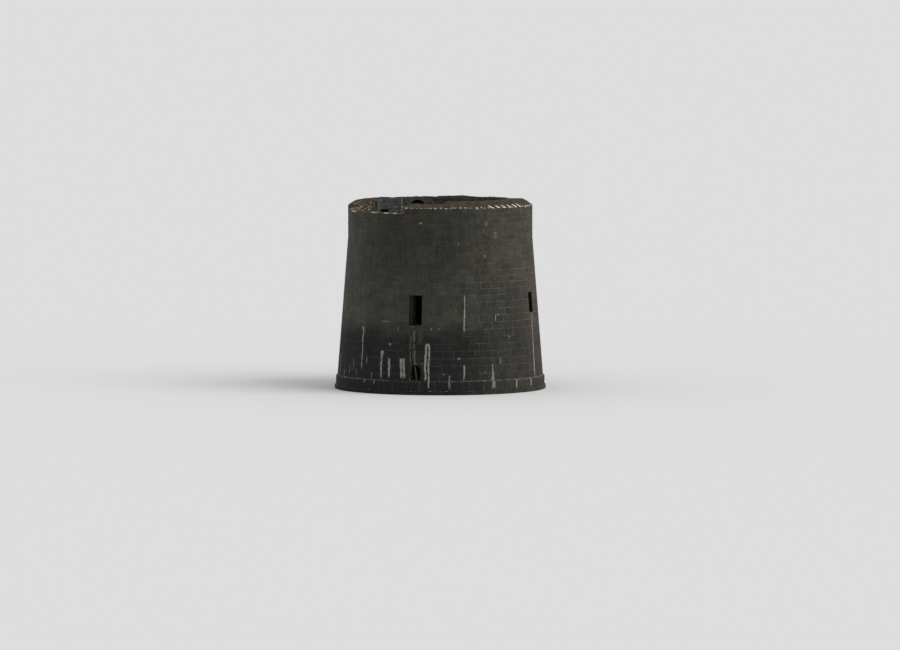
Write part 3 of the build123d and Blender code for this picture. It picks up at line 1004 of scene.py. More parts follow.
@dataclass(frozen=True)
class WallBacking(Finish):
    """The wall behind the facing: lime joints outside, limewashed rubble inside, broken core in the hole, and painted
    shade on the door's and the windows' reveals.
    """

    listed: Sequence[Run]
    moss: float = 0.0
    inside: Colour = seen(176, 172, 160)
    bed: Colour = seen(92, 89, 80)
    # painted shade: near-black colour laid on the door's and the windows' reveals
    reveal_shade: Colour = seen(11, 12, 12)
    # limewash darkened partly as painted shade, deeper in the door passage
    deep_jamb_wash_and_shade: Colour = seen(112, 118, 117)
    core: Colour = seen(30, 30, 29)
    lime: Colour = seen(96, 94, 86)
    # paler lime for the right, partly painted light on the lit side
    lime_right_lit: Colour = seen(124, 121, 112)
    lime_low: Colour = seen(92, 91, 87)

    def paint(self, on: Weather) -> None:
        """Adds the joints' mortar outside, and behind it the rubble, with painted shade darkening the openings'
        sides.

        Args:
            on: the material's nodes.
        """
        x, y, level = on.axes
        reach = on.math("SQRT", x * x + y * y)
        slope = (WALL.parapet_radius - WALL.foot_radius) / (WALL.parapet_foot - WALL.base_top)
        face = (level - WALL.base_top) * slope + WALL.foot_radius | WALL.parapet_radius
        depth = face - reach
        deep = on.ramp(depth, 0.03, 0.06)
        fine = on.grain(18.0, 5.0)
        cell, rubble = self.rubble(on, fine)
        hole = on.ramp(level, 2.0, 1.95) * on.ramp(reach, 5.2, 5.3)
        rubble = on.mix(hole, rubble, self.core)
        colour = on.mix(deep, on.runs(self.mortar(on), self.listed), rubble)
        # painted shade down the door passage: near-black by the mouth, a darkened wash further in
        door_reveal_shade = on.ramp(abs(x), 0.55, 0.50) * on.ramp(y, -3.6, -3.8) * on.ramp(abs(level - 5.4), 1.02, 0.98)
        colour = on.mix(door_reveal_shade * deep, colour, on.mix(on.ramp(y, -5.3, -6.2), self.deep_jamb_wash_and_shade, self.reveal_shade))
        # painted shade: the windows' reveals get the same near-black colour
        turn = math.radians(WALL.window_bearing)
        window_reveal_shade = on.ramp(abs(abs(x) * math.cos(turn) + y * math.sin(turn)), 0.46, 0.42)
        window_reveal_shade = window_reveal_shade * on.ramp(reach, 5.0, 5.3) * on.ramp(abs(level - 5.72), 0.70, 0.67)
        colour = on.mix(window_reveal_shade * on.ramp(depth, 0.010, 0.014), colour, self.reveal_shade)
        on.surface(on.mossed(colour, self.moss), 0.92, fine * 0.4 + cell * deep * 0.6, 0.012)

    def mortar(self, on: Weather) -> Wire:
        """The joints' colour: lime in patches, paler and stronger to the right partly as painted light on the lit
        side, worn away round the door.

        Args:
            on: the material's nodes.

        Returns:
            The colour.
        """
        level = on.axes[2]
        low = on.ramp(level, 4.6, 3.2)
        # partly painted light: the lime is made paler towards the lit right side
        lime = on.mix(on.ramp(on.aside, 0.35, 0.95), self.lime, self.lime_right_lit)
        lime = on.mix(low, lime, self.lime_low)
        broken = on.ramp(on.grain(3.0, 4.0, shift=43.0), 0.34, 0.60)
        # partly painted light: the joints show more towards the lit right side
        strength = (0.42 + on.ramp(on.aside, 0.1, 0.9) * 0.36 + low * 0.14) * (0.25 + broken * 0.75)
        clear = on.ramp(abs(on.bearing - 3.0), 15.0, 7.0) * on.ramp(abs(level - 6.0), 2.2, 1.2)
        strength = strength * on.ramp(on.grain(1.1, 4.0, shift=41.0), 0.30, 0.60) * (1.0 - clear * 0.75)
        return on.mix(strength * (1.0 - on.ramp(level, 7.0, 9.0) * 0.5), on.tone(), lime)

    def rubble(self, on: Weather, fine: Wire) -> tuple[Wire, Wire]:
        """The mask and the colour of limewashed rubble.

        Args:
            on: the material's nodes.
            fine: its fine grain.

        Returns:
            The mask, 1 on a stone and 0 on its bed, and the colour.
        """
        sockets = {"Vector": on.stretched((1.0, 1.0, 1.7)), "Scale": 3.4}
        edge = on.node("TexVoronoi", {"feature": "DISTANCE_TO_EDGE"}, sockets, "Distance")
        body = on.node("TexVoronoi", {"feature": "F1"}, sockets, "Color")
        single = on.node("SeparateColor", None, {0: body})
        cell = on.ramp(edge, 0.02, 0.07)
        return cell, on.shaded(on.mix(cell, self.bed, self.inside), (single * 0.5 + 0.65) * (fine * 0.6 + 0.7))


@dataclass(frozen=True)
class Turf(Finish):
    """Short turf, moss and lichen on the parapet's top."""

    def paint(self, on: Weather) -> None:
        """Adds the turf's colour and its fine blades."""
        on.surface(on.turf(), 0.97, on.grain(24.0, 6.0, shift=61.0), 0.02)


@dataclass(frozen=True)
class BrokenCore(Finish):
    """Rubble and lime, bared where the coping has gone, or behind the facing where that is kept."""

    beige: Colour = seen(104, 96, 80)
    grey: Colour = seen(52, 50, 46)
    pink: Colour = seen(112, 92, 82)
    lime: Colour = seen(164, 156, 138)
    faced: bool = False

    def paint(self, on: Weather) -> None:
        """Adds stones of three colours, lime in patches and a little moss.

        Args:
            on: the material's nodes.
        """
        fine = on.grain(20.0, 5.0)
        patch = on.grain(1.6, 4.0, shift=71.0) - 0.5
        colour = on.mix(on.ramp(on.stored("tone") + patch, 0.15, 0.75), self.grey, self.beige)
        colour = on.mix(on.ramp(on.stored("hue"), 0.80, 0.95) * 0.6, colour, self.pink)
        colour = on.mix(on.ramp(on.grain(4.0, 4.0, shift=73.0), 0.54, 0.66) * 0.8, colour, self.lime)
        colour = on.mossed(on.shaded(colour, fine * 0.8 + 0.6), 0.12)
        if self.faced:
            x, y, _ = on.axes
            colour = on.mix(on.ramp(x * x + y * y, 5.975**2, 5.99**2), colour, on.tone())
        on.surface(colour, 0.95, fine, 0.012)


@dataclass(frozen=True)
class LimeCrust(Finish):
    """Lime that has run out of joints and set in a crust, some of it worn and dirty."""

    worn_share: float
    pale: Colour = seen(196, 192, 180)
    worn: Colour = seen(110, 104, 90)

    def paint(self, on: Weather) -> None:
        """Adds pale and worn patches."""
        patch = on.grain(5.0, 4.0, shift=81.0) + (self.worn_share - 0.5)
        on.surface(on.mix(on.ramp(patch, 0.35, 0.65), self.pale, self.worn), 0.9, on.grain(30.0, 4.0), 0.004)


@dataclass(frozen=True)
class Paving(Finish):
    """Worn flags and steps, with moss over a share of them."""

    moss: float
    slab: Colour = seen(66, 64, 58)
    dark: Colour = seen(40, 40, 35)

    def paint(self, on: Weather) -> None:
        """Adds patches, each stone's own tone and the moss.

        Args:
            on: the material's nodes.
        """
        fine = on.grain(16.0, 5.0)
        colour = on.mix(on.ramp(on.grain(0.9, 4.0, shift=91.0), 0.35, 0.65), self.dark, self.slab)
        colour = on.shaded(colour, (on.stored("tone") * 0.4 + 0.8) * (fine * 0.6 + 0.7))
        on.surface(on.mossed(colour, self.moss), 0.9, fine, 0.008)


@dataclass(frozen=True)
class DressedGranite(Finish):
    """Smoothly worked stone of the door and the windows."""

    stone: Colour = seen(50, 49, 44)

    def paint(self, on: Weather) -> None:
        """Adds a fine grain and soft patches.

        Args:
            on: the material's nodes.
        """
        fine = on.grain(30.0, 5.0)
        light = fine * 0.6 + on.grain(2.2, 4.0, shift=101.0) * 0.6 + 0.4
        on.surface(on.shaded(self.stone, light), 0.9, fine, 0.004)


@dataclass(frozen=True)
class VaultStone(Finish):
    """Limewashed vault stones, in rows along the barrel."""

    wash: Colour = seen(140, 136, 126)
    worn_wash: Colour = seen(122, 119, 110)
    joint: Colour = seen(96, 93, 86)
    centre_level: float = 5.2
    radius: float = 3.9

    def paint(self, on: Weather) -> None:
        """Adds the rows, bent round the barrel, and their grain.

        Args:
            on: the material's nodes.
        """
        x, y, level = on.axes
        bent = on.math("ARCTAN2", x, level - self.centre_level) * self.radius
        sockets = {"Vector": on.node("CombineXYZ", None, {0: bent, 1: y, 2: 0.0}), "Scale": 3.2}
        sockets |= {"Mortar Size": 0.03, "Color1": self.wash, "Color2": self.worn_wash, "Mortar": self.joint}
        fine = on.grain(14.0, 5.0)
        rows = on.node("TexBrick", {"offset": 0.5}, sockets, "Color")
        on.surface(on.shaded(rows, fine * 0.8 + 0.6), 0.93, fine, 0.008)


@dataclass(frozen=True)
class Timber(Finish):
    """Old bare floor timber, with its grain stretched along one axis."""

    along: Point
    pale: Colour = seen(92, 78, 60)
    dark: Colour = seen(52, 42, 32)

    def paint(self, on: Weather) -> None:
        """Adds the grain, stains and each board's own tone.

        Args:
            on: the material's nodes.
        """
        grain = on.grain(9.0, 6.0, self.along)
        colour = on.mix(on.ramp(grain, 0.35, 0.65), self.dark, self.pale)
        light = (on.stored("tone") * 0.4 + 0.8) * (on.grain(1.4, 3.0, shift=111.0) * 0.8 + 0.6)
        on.surface(on.shaded(colour, light), 0.85, grain, 0.004)


@dataclass(frozen=True)
class InnerRubble(Finish):
    """The rough facing inside the parapet, with the runs down it and painted shade over its far side."""

    listed: Sequence[Run]
    dark: Colour = seen(60, 60, 59)
    pale: Colour = seen(82, 81, 79)

    def paint(self, on: Weather) -> None:
        """Adds patches, coarse and fine grain, each stone's own tone and the runs, the painted shade among them.

        Args:
            on: the material's nodes.
        """
        fine = on.grain(18.0, 5.0)
        coarse = on.grain(6.0, 4.0, (1.0, 1.0, 0.5), 123.0)
        colour = on.mix(on.ramp(on.grain(0.9, 4.0, shift=121.0), 0.35, 0.65), self.dark, self.pale)
        light = (on.stored("tone") * 0.5 + 0.72) * (fine * 0.8 + 0.6) * (coarse * 1.6 + 0.2)
        on.surface(on.runs(on.shaded(colour, light), self.listed), 0.93, fine, 0.008)


# The facing

SECTORS = ("front", "front_right", "back_right", "back", "back_left", "front_left")
STOREYS = {"store": WALL.to_ledge, "living": WALL.to_springing, "upper": WALL.to_parapet, "parapet": WALL.courses}


@dataclass
class Masonry:
    """What every sub-assembly of stones shares: its seed, its source of chance and how its stones are worked."""

    seed: int
    dressing: Dressing = Dressing()
    rng: random.Random = field(init=False)

    def __post_init__(self) -> None:
        """Starts the chance from the seed."""
        self.restart(0)

    def restart(self, step: int) -> None:
        """Starts the chance again for a later part of the work."""
        self.rng = random.Random(self.seed + step)

    def batch(self, name: str) -> Batch:
        """An empty batch for one of this sub-assembly's pieces."""
        return Batch(name, self.rng, self.dressing)


@dataclass
class Facing(Masonry):
    """The squared stones of the wall, course by course, from the base course to the parapet."""

    seed: int = 7
    mean_length: float = 0.70
    length_spread: Pair = (0.72, 1.28)
    least_lap: float = 0.14
    clearance: float = 0.003
    proud_of_sill: float = 0.010
    batches: dict[str, Batch] = field(default_factory=dict)
    last_cuts: list[float] = field(default_factory=list)

    def build(self) -> None:
        """Lays every course and dresses the pieces."""
        for index in range(1, WALL.courses):
            self.lay_course(index, WALL.course_top(index - 1), WALL.course_top(index))
        self.lay_opening_stones()
        for batch in self.batches.values():
            batch.piece(FacingStone(Reach.of(batch.points).runs()), "wall_granite")

    def batch_for(self, index: int, bearing: float) -> Batch:
        """The batch of a course and a bearing.

        Args:
            index: the course's number.
            bearing: degrees from the door.

        Returns:
            The batch, made where there is none yet.
        """
        sector = SECTORS[int(((bearing + 30) % 360) // 60)]
        storey = next(name for name, last in STOREYS.items() if index <= last)
        name = f"facing_{storey}_{sector}"
        return self.batches.setdefault(name, self.batch(name))

    def gaps(self, index: int) -> list[tuple[Side, Side]]:
        """The two sides of each opening that a course stops at, from the left-hand window round.

        Args:
            index: the course's number.

        Returns:
            The left and right side of each opening.
        """
        found = []
        first_bed = WALL.course_top(1)
        if index == 1:
            found = [(Side(0, -0.290), Side(0, 0.430))]
        if index == 2:
            found = [(Side(0, -0.290, 0.12, first_bed), Side(0, 0.424, -0.08, first_bed))]
        door_half, half = 0.0, 0.0
        if WALL.to_ledge < index <= WALL.to_head:
            door_half = DOOR_HALF + self.clearance
            half = WINDOW_HALF if index > WALL.to_sill else 0.0
        if index == WALL.to_springing:
            door_half, half = LINTEL_HALF, WINDOW_LINTEL_HALF
        if door_half:
            found.append((Side(0, -door_half), Side(0, door_half)))
        if half:
            half += self.clearance
            found += [(Side(bearing, -half), Side(bearing, half)) for bearing in WINDOW_BEARINGS]
        return found

    def lay_course(self, index: int, bottom: float, top: float) -> None:
        """Lays one course round the tower, breaking joint with the one under it.

        Args:
            index: the course's number.
            bottom: its lower bed.
            top: its upper bed.
        """
        gaps = self.gaps(index)
        if gaps:
            turned = [Side(end.bearing + 360, end.offset, end.lean, end.foot) for end, _ in gaps[:1]]
            ends = [end for end, _ in gaps[1:]] + turned
            spans = [(start, end) for (_, start), end in zip(gaps, ends)]
        else:
            phase = self.rng.uniform(-3, 3)
            spans = [(Side(phase), Side(phase + 360))]
        middle = (bottom + top) / 2
        radius = WALL.radius(middle)
        skin = self.dressing.upright(bottom, top, WALL.radius)
        cuts_made: list[float] = []
        for start, end in spans:
            cuts = self.cuts(start.angle(radius, middle), end.angle(radius, middle), radius)
            sides = [start] + [Side(math.degrees(cut)) for cut in cuts[1:-1]] + [end]
            cuts_made += cuts[1:-1] if gaps else cuts[:-1]
            for left, right in zip(sides, sides[1:]):
                bearing = math.degrees((left.angle(radius, middle) + right.angle(radius, middle)) / 2)
                self.batch_for(index, bearing).stone(left, right, skin)
        self.last_cuts = cuts_made

    def cuts(self, first: float, last: float, radius: float) -> list[float]:
        """Where a span of a course is cut into stones.

        Args:
            first: bearing of its start, in radians.
            last: bearing of its end.
            radius: the wall's radius there.

        Returns:
            The cuts' bearings in radians, both ends included.
        """
        count = max(1, round((last - first) * radius / self.mean_length))
        lengths = [self.rng.uniform(*self.length_spread) for _ in range(count)]
        least = self.least_lap / radius
        cuts, run = [first], 0.0
        for length in lengths[:-1]:
            run += length
            cut = first + (last - first) * run / sum(lengths)
            for other in self.last_cuts:
                apart = (cut - other + math.pi) % math.tau - math.pi
                if abs(apart) < least:
                    cut += math.copysign(least - abs(apart), apart if apart else 1.0)
                    break
            cuts.append(cut)
        return cuts + [last]

    def lay_opening_stones(self) -> None:
        """Lays the threshold, the sills and the lintels in the facing."""
        top = WALL.course_top
        ledge, sill, head, springing = WALL.to_ledge, WALL.to_sill, WALL.to_head, WALL.to_springing
        sill_bed, sill_top = (corner.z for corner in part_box("right_window_sill"))
        door_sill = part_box("door_threshold")[1].z
        stones = [
            (0, top(head), top(springing), springing, LINTEL_HALF, 3, 0.55),
            (0, top(ledge), door_sill + self.proud_of_sill, ledge + 1, DOOR_HALF, 3, 0.45),
        ]
        for bearing in WINDOW_BEARINGS:
            stones += [
                (bearing, top(sill), sill_bed, sill + 1, WINDOW_HALF, 2, None),
                (bearing, sill_bed, sill_top + self.proud_of_sill, sill + 1, WINDOW_HALF, 2, None),
                (bearing, top(head), top(springing), springing, WINDOW_LINTEL_HALF, 2, None),
            ]
        for bearing, low, high, index, half, steps, tone in stones:
            skin = self.dressing.upright(low, high, WALL.radius, steps=steps)
            self.batch_for(index, bearing).stone(Side(bearing, -half), Side(bearing, half), skin, tone)


@dataclass
class BaseCourses(Masonry):
    """The weathered base course and the wide footing course that the wall stands on."""

    seed: int = 11
    dressing: Dressing = Dressing(joint=0.030, bevel=0.018, columns=5)
    base_stones: int = 42
    footing_stones: int = 46
    weathering: float = 0.060
    bed_steps: int = 180

    def build(self) -> None:
        """Lays both courses, their bedding and the lime along their ledges."""
        self.lay_base()
        self.restart(1)
        self.lay_footing()
        self.restart(2)
        self.lay_lime()

    def lay_ring(self, batch: Batch, mark: float, count: int, spread: float, skin: Sequence[Skin]) -> None:
        """Lays a whole turn of stones of uneven length.

        Args:
            batch: where they go.
            mark: bearing of the first joint, in radians.
            count: how many.
            spread: how much a stone's length differs from the mean, as a share.
            skin: their outer line.
        """
        lengths = [self.rng.uniform(1 - spread, 1 + spread) for _ in range(count)]
        for length in lengths:
            after = mark + math.tau * length / sum(lengths)
            batch.stone(Side(math.degrees(mark)), Side(math.degrees(after)), skin)
            mark = after

    def lay_base(self) -> None:
        """Lays the base course right round, over its weathered edge."""
        outer, slant = WALL.base_radius, math.sqrt(0.5)
        low, shoulder = WALL.footing_top + 0.015, WALL.base_top - self.weathering
        rise = shoulder - low - 0.03
        skin = bent((outer, low, 1.0, 0.0, 0), (outer, low, 1.0, 0.0, 1))
        skin += bent(*((outer, low + 0.018 + rise * share) for share in (0.0, 0.33, 0.66, 1.0)))
        skin += bent(*((outer - inset, shoulder + inset, slant, slant) for inset in (0.008, 0.045)))
        skin += bent(*((outer - 0.056, WALL.base_top - 0.004, slant, slant, lift) for lift in (1, 0)))
        batch = self.batch("facing_base_course")
        self.lay_ring(batch, math.radians(3.2), self.base_stones, 0.22, skin)
        batch.piece(FacingStone(Reach(WALL.footing_top, WALL.base_top).runs()), "wall_granite")

    def lay_footing(self) -> None:
        """Lays the footing course as its own stones on a bed, in place of the plain solid."""
        proud = self.dressing.proud
        face, top = WALL.footing_radius - proud - 0.010, WALL.footing_top - proud
        inner = WALL.base_radius - 0.06
        skin = bent((face, 0.0, 1.0, 0.0, 1), *((face, level) for level in (0.012, 0.10, 0.19, top - 0.012)))
        skin += bent(*((radius, top, 0.0, 1.0) for radius in (face - 0.012, face - 0.06, inner + 0.03)))
        batch = self.batch("footing_stones")
        skin += bent((inner, top, 0.0, 1.0, 0))
        self.lay_ring(batch, 0.13, self.footing_stones, 0.25, skin)
        listed = Reach(0.0, WALL.footing_top).runs()
        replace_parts(batch.piece(FacingStone(listed), "wall_granite"), "footing_course")
        bed = self.batch("footing_bed")
        angles = [math.tau * step / self.bed_steps for step in range(self.bed_steps)]
        rings = ((0.0, 0.0), (face, 0.0), (face, top), (0.0, top))
        points = [place(radius, angle, level) for radius, level in rings for angle in angles]
        bed.add(points, grid(self.bed_steps, len(rings), closed=True), 0.5, 0.5)
        bed.piece(WallBacking(listed), "wall_granite")

    def lay_lime(self) -> None:
        """Lays the pale line on the base course and the broken one on the footing."""
        foot, ledge = WALL.foot_radius, WALL.base_top
        profile = [(foot + 0.066, ledge - 0.012), (foot + 0.046, ledge + 0.014)]
        profile += [(foot + 0.016, ledge + 0.040), (foot - 0.004, ledge + 0.046)]
        line = self.batch("lime_on_base_course")
        line.fillet(profile, 0.068, math.tau - 0.047, 0.006)
        finish = LimeCrust(0.55, seen(132, 130, 122), seen(62, 61, 56))
        line.piece(finish, "wall_granite", name="lime_line")
        dots = self.batch("lime_on_footing")
        rng, base, low = self.rng, WALL.base_radius, WALL.footing_top
        mark = 0.0
        while mark < 359:
            length, rise = rng.uniform(0.5, 2.2), rng.uniform(0.008, 0.024)
            profile = [(base + 0.075 * rng.uniform(0.5, 1.1), low - 0.004), (base + 0.045, low + rise * 0.7)]
            profile += [(base + 0.015, low + rise), (base - 0.004, low + rise * 1.3)]
            dots.fillet(profile, math.radians(mark), math.radians(mark + length), 0.008)
            mark += length + rng.uniform(0.8, 5.0)
        finish = LimeCrust(0.55, seen(140, 136, 122), seen(66, 64, 54))
        dots.piece(finish, "wall_granite", name="lime_dots")


# The parapet's top


@dataclass
class Coping(Masonry):
    """The coping stones of the top course, with the lime that has run out of their joints."""

    seed: int = 23
    dressing: Dressing = Dressing(joint=0.022, bevel=0.016, proud=0.012, rough=0.006, columns=2)
    spacing: float = 5.15
    inner_radius: float = 5.36
    bed: float = 0.013
    # partly painted light: on these bearings, the lit side, the lime is laid in the brighter batch
    bold_joints: Pair = (46.0, 76.0)
    lit_bright_edge: Pair = (77.0, 97.0)
    band_end: float = 43.0
    line_end: float = 96.0
    band: tuple[Pair, ...] = ((0.8, 3.6), (0.02, 0.10), (0.1, 1.2))
    thin_line: tuple[Pair, ...] = ((1.0, 4.0), (0.03, 0.06), (0.3, 1.8))

    def build(self) -> None:
        """Lays the stones and their lime."""
        stones, lime = self.batch("coping_stones"), self.batch("lime_at_coping_joints")
        bright = self.batch("lit_bright_lime_at_coping")
        span = 360 + WALL.broken_from - WALL.low_from
        count = round(span / self.spacing)
        marks = [WALL.low_from + span * index / count for index in range(count + 1)]
        marks[1:-1] = [mark + self.rng.uniform(-0.25, 0.25) for mark in marks[1:-1]]
        for left, right in zip(marks, marks[1:]):
            skin = self.skin(max(WALL.crest(left + 0.1), WALL.crest(right - 0.1)))
            stones.stone(Side(left), Side(right), skin)
        for mark in marks[1:-1]:
            bold = self.bold_joints[0] < mark % 360 < self.bold_joints[1]
            self.lay_joint(bright if bold else lime, mark, bold)
        self.lay_edge_lime(lime, bright)
        # partly painted light: the lime on the lit side is made cleaner and paler
        bright.piece(LimeCrust(0.15, seen(214, 209, 200)), "wall_granite")
        listed = Reach(WALL.broken_edge, CAD_HIGH.z).runs()
        stones.piece(FacingStone(listed, 0.75), "wall_granite")
        lime.piece(LimeCrust(0.50, worn=seen(78, 74, 66)), "wall_granite", name="lime_at_coping")

    @staticmethod
    def facing(line: Sequence[Pair], radius: float) -> Pair:
        """How far outwards and how far upwards the top faces at a radius.

        Args:
            line: the top's radius and level pairs.
            radius: distance from the axis.

        Returns:
            The outward and the upward share.
        """
        outer = min(WALL.parapet_radius, radius + 0.01)
        tilt = math.atan((along(line, outer - 0.02) - along(line, outer)) / 0.02)
        return math.sin(tilt), math.cos(tilt)

    def skin(self, crest: float) -> list[Skin]:
        """A coping stone's outer line: up its face and in over its weathered top.

        Args:
            crest: the crest's level behind it.

        Returns:
            The line's points.
        """
        line, inner, outer = WALL.top_line(crest), self.inner_radius, WALL.parapet_radius
        bottom, top = WALL.broken_edge + self.bed, WALL.edge
        skin = bent((outer, bottom, 1.0, 0.0, 0), (outer, bottom, 1.0, 0.0, 1))
        skin += bent(*((outer, level) for level in (bottom + 0.015, (bottom + top) / 2, top - 0.02)))
        spots = [(outer - inset, 2) for inset in (0.012, 0.13, 0.28, 0.44)]
        for radius, lift in (*spots, (inner + 0.02, 2), (inner, 1), (inner, 0)):
            skin.append(Skin(radius, along(line, radius), *self.facing(line, radius), lift))
        return skin

    def lay_joint(self, batch: Batch, bearing: float, bold: bool) -> None:
        """Adds the lime that lies over one radial joint.

        Args:
            batch: where it goes.
            bearing: the joint's bearing, in degrees.
            bold: True for a long and wide smear.
        """
        rng, rows, columns = self.rng, 9, 5
        line = WALL.top_line(max(WALL.crest(bearing - 0.2), WALL.crest(bearing + 0.2)))
        length = rng.uniform(0.18, 0.24) if bold else rng.uniform(0.06, 0.20)
        width = rng.uniform(0.15, 0.20) if bold else rng.uniform(0.03, 0.06)
        seed = chance(rng, 60, 60, 0)
        points = []
        for row in range(rows):
            share = row / (rows - 1)
            radius = WALL.parapet_radius - length * share
            out, up = self.facing(line, radius)
            half = width / 2 * (1 - 0.55 * share**2) * (1 + 0.5 * noise.noise(Vector((share * 5, 0, 0)) + seed))
            lean = math.radians(1.1) * (1 - 2 * share) if bold else 0.0
            for column in range(columns):
                across = 2 * column / (columns - 1) - 1
                lift = 0.020 * (1 - across**4) * (1 if 0 < row < rows - 1 else 0.2) + 0.008
                angle = math.radians(bearing) + lean + across * half / radius
                points.append(place(radius + out * lift, angle, along(line, radius) + up * lift))
        batch.add(points, grid(columns, rows))

    def lay_edge_lime(self, dull: Batch, bright: Batch) -> None:
        """Adds the lime along the outer edge: a ragged band over the door, a thin line beyond it.

        Args:
            dull: where its lengths away from the lit side go, half worn.
            bright: where its lengths on the lit side go, kept clean and pale partly as painted light.
        """
        rng, outer = self.rng, WALL.parapet_radius + 0.010
        bearing = WALL.low_from + 0.4
        while bearing < self.line_end:
            wide = bearing < self.band_end
            lengths, widths, spaces = self.band if wide else self.thin_line
            end = bearing + rng.uniform(*lengths)
            line = WALL.top_line(max(WALL.crest(bearing), WALL.crest(end)))
            width = rng.uniform(*widths)
            profile = [(outer, WALL.edge - rng.uniform(0.01, 0.05))]
            profile += [(radius, along(line, radius) + 0.024) for radius in (outer - 0.015, outer - width)]
            profile.append((outer - width - 0.03, along(line, outer - width - 0.03) - 0.004))
            batch = bright if self.lit_bright_edge[0] < bearing < self.lit_bright_edge[1] else dull
            batch.fillet(profile, math.radians(bearing), math.radians(end), 0.012)
            bearing = end + rng.uniform(*spaces)


@dataclass(frozen=True)
class Strewn:
    """Broken stones on a part of the broken top: how many, its limits, their half sizes and how they sit."""

    count: int
    first: float
    last: float
    radii: Pair
    sizes: Pair
    lift: float = 0.0


@dataclass
class BrokenTop(Masonry):
    """The rubble bared where the coping has fallen, with the lengths of lime left along its edge."""

    seed: int = 31
    heap_full: float = -45.0
    heap_foot: float = -36.0
    heap_height: float = 0.40
    heap_end: float = -41.0
    end_stones: int = 70
    ceiling: float = CAD_HIGH.z - 0.02
    lime_lengths: tuple[Pair, ...] = ((-60.7, -49.2), (-34.2, -28.5), (-23.6, -19.1), (-16.5, -12.7))

    def build(self) -> None:
        """Heaps the rubble on the slope, the heap and the gap, and lays the lime."""
        batch = self.batch("broken_core_rubble")
        for part in (
            Strewn(130, WALL.broken_from + 0.6, WALL.gap_from - 0.3, (5.34, 5.92), (0.07, 0.17)),
            Strewn(120, WALL.gap_from + 0.3, self.heap_end, (5.16, 5.88), (0.06, 0.16)),
            Strewn(90, self.heap_end, WALL.low_from - 0.5, (4.62, 5.80), (0.04, 0.09), -0.45),
        ):
            self.strew(batch, part)
        self.rag_ends(batch)
        finish = BrokenCore(seen(108, 98, 82), seen(50, 46, 40), seen(116, 94, 80), seen(178, 168, 150))
        batch.piece(finish, "rubble_core", 30.0)
        self.restart(1)
        self.lay_bed()

    def line(self, bearing: float) -> list[Pair]:
        """The broken top's radius and level pairs at a bearing, from the outer edge inwards.

        Args:
            bearing: degrees from the door.

        Returns:
            The pairs.
        """
        edge, outer, inner = WALL.broken_edge, WALL.parapet_radius, WALL.inner_radius
        if bearing < WALL.gap_from:
            crest = CRESTS["parapet_spalled"]
            ledge = [(5.65, edge + 0.08), (5.30, WALL.edge + 0.08)]
            return [(outer, edge), *ledge, (WALL.crest_radius, crest), (inner, crest)]
        height = self.heap_height * held((self.heap_foot - bearing) / (self.heap_foot - self.heap_full))
        heap = [(5.70, edge + height / 4), (5.35, edge + height), (5.00, edge - WALL.gap_fall / 2)]
        return [(outer, edge), *heap, (inner, edge - WALL.gap_fall)]

    def strew(self, batch: Batch, part: Strewn) -> None:
        """Lays broken stones over part of the broken top.

        Args:
            batch: where they go.
            part: how many, where and how large.
        """
        rng = self.rng
        for _ in range(part.count):
            bearing, size = rng.uniform(part.first, part.last), rng.uniform(*part.sizes)
            shape = (size * rng.uniform(0.9, 1.4), size, size * rng.uniform(0.4, 0.75))
            radius = min(rng.uniform(*part.radii), WALL.parapet_radius - 0.02 - shape[0])
            level = along(self.line(bearing), radius) + shape[2] * (part.lift + rng.uniform(-0.3, 0.3))
            batch.rock(place(radius, math.radians(bearing), level), shape, self.ceiling)

    def rag_ends(self, batch: Batch) -> None:
        """Sets broken stones into the upright ends where one stretch stands above the next.

        Args:
            batch: where they go.
        """
        rng = self.rng
        spalled, heap, gap = (self.line(end) for end in (WALL.gap_from - 1, WALL.gap_from + 1, WALL.low_from - 1))
        whole, lowered = (WALL.top_line(WALL.crest(bearing)) for bearing in (WALL.broken_from - 1, 0.0))
        steps = ((spalled, whole), (heap, spalled), (gap, lowered))
        ends = ((WALL.broken_from, 1), (WALL.gap_from, 1), (WALL.low_from, -1))
        for (bearing, side), (low, high) in zip(ends, steps):
            for _ in range(self.end_stones):
                radius = rng.uniform(4.62, 5.85)
                foot, top = along(low, radius) - 0.02, along(high, radius) - 0.09
                if top < foot:
                    continue
                size = rng.uniform(0.07, 0.15)
                angle = math.radians(bearing) + side * rng.uniform(-0.03, 0.04) / radius
                centre = place(min(radius, 5.97 - size), angle, rng.uniform(foot, top))
                batch.rock(centre, (size, size, size * 0.7), self.ceiling)

    def lay_bed(self) -> None:
        """Lays the lime bed that shows in lengths along the broken edge."""
        batch = self.batch("lime_on_broken_edge")
        edge, outer = WALL.broken_edge, WALL.parapet_radius + 0.012
        for first, last in self.lime_lengths:
            inner = outer - self.rng.uniform(0.10, 0.18)
            profile = [(outer, edge - 0.030), (outer - 0.004, edge + 0.030), (outer - 0.05, edge + 0.044)]
            profile += [(inner, edge + 0.026), (inner - 0.03, edge - 0.01)]
            batch.fillet(profile, math.radians(first), math.radians(last), 0.016)
        batch.piece(LimeCrust(0.35, seen(176, 170, 158)), "rubble_core")


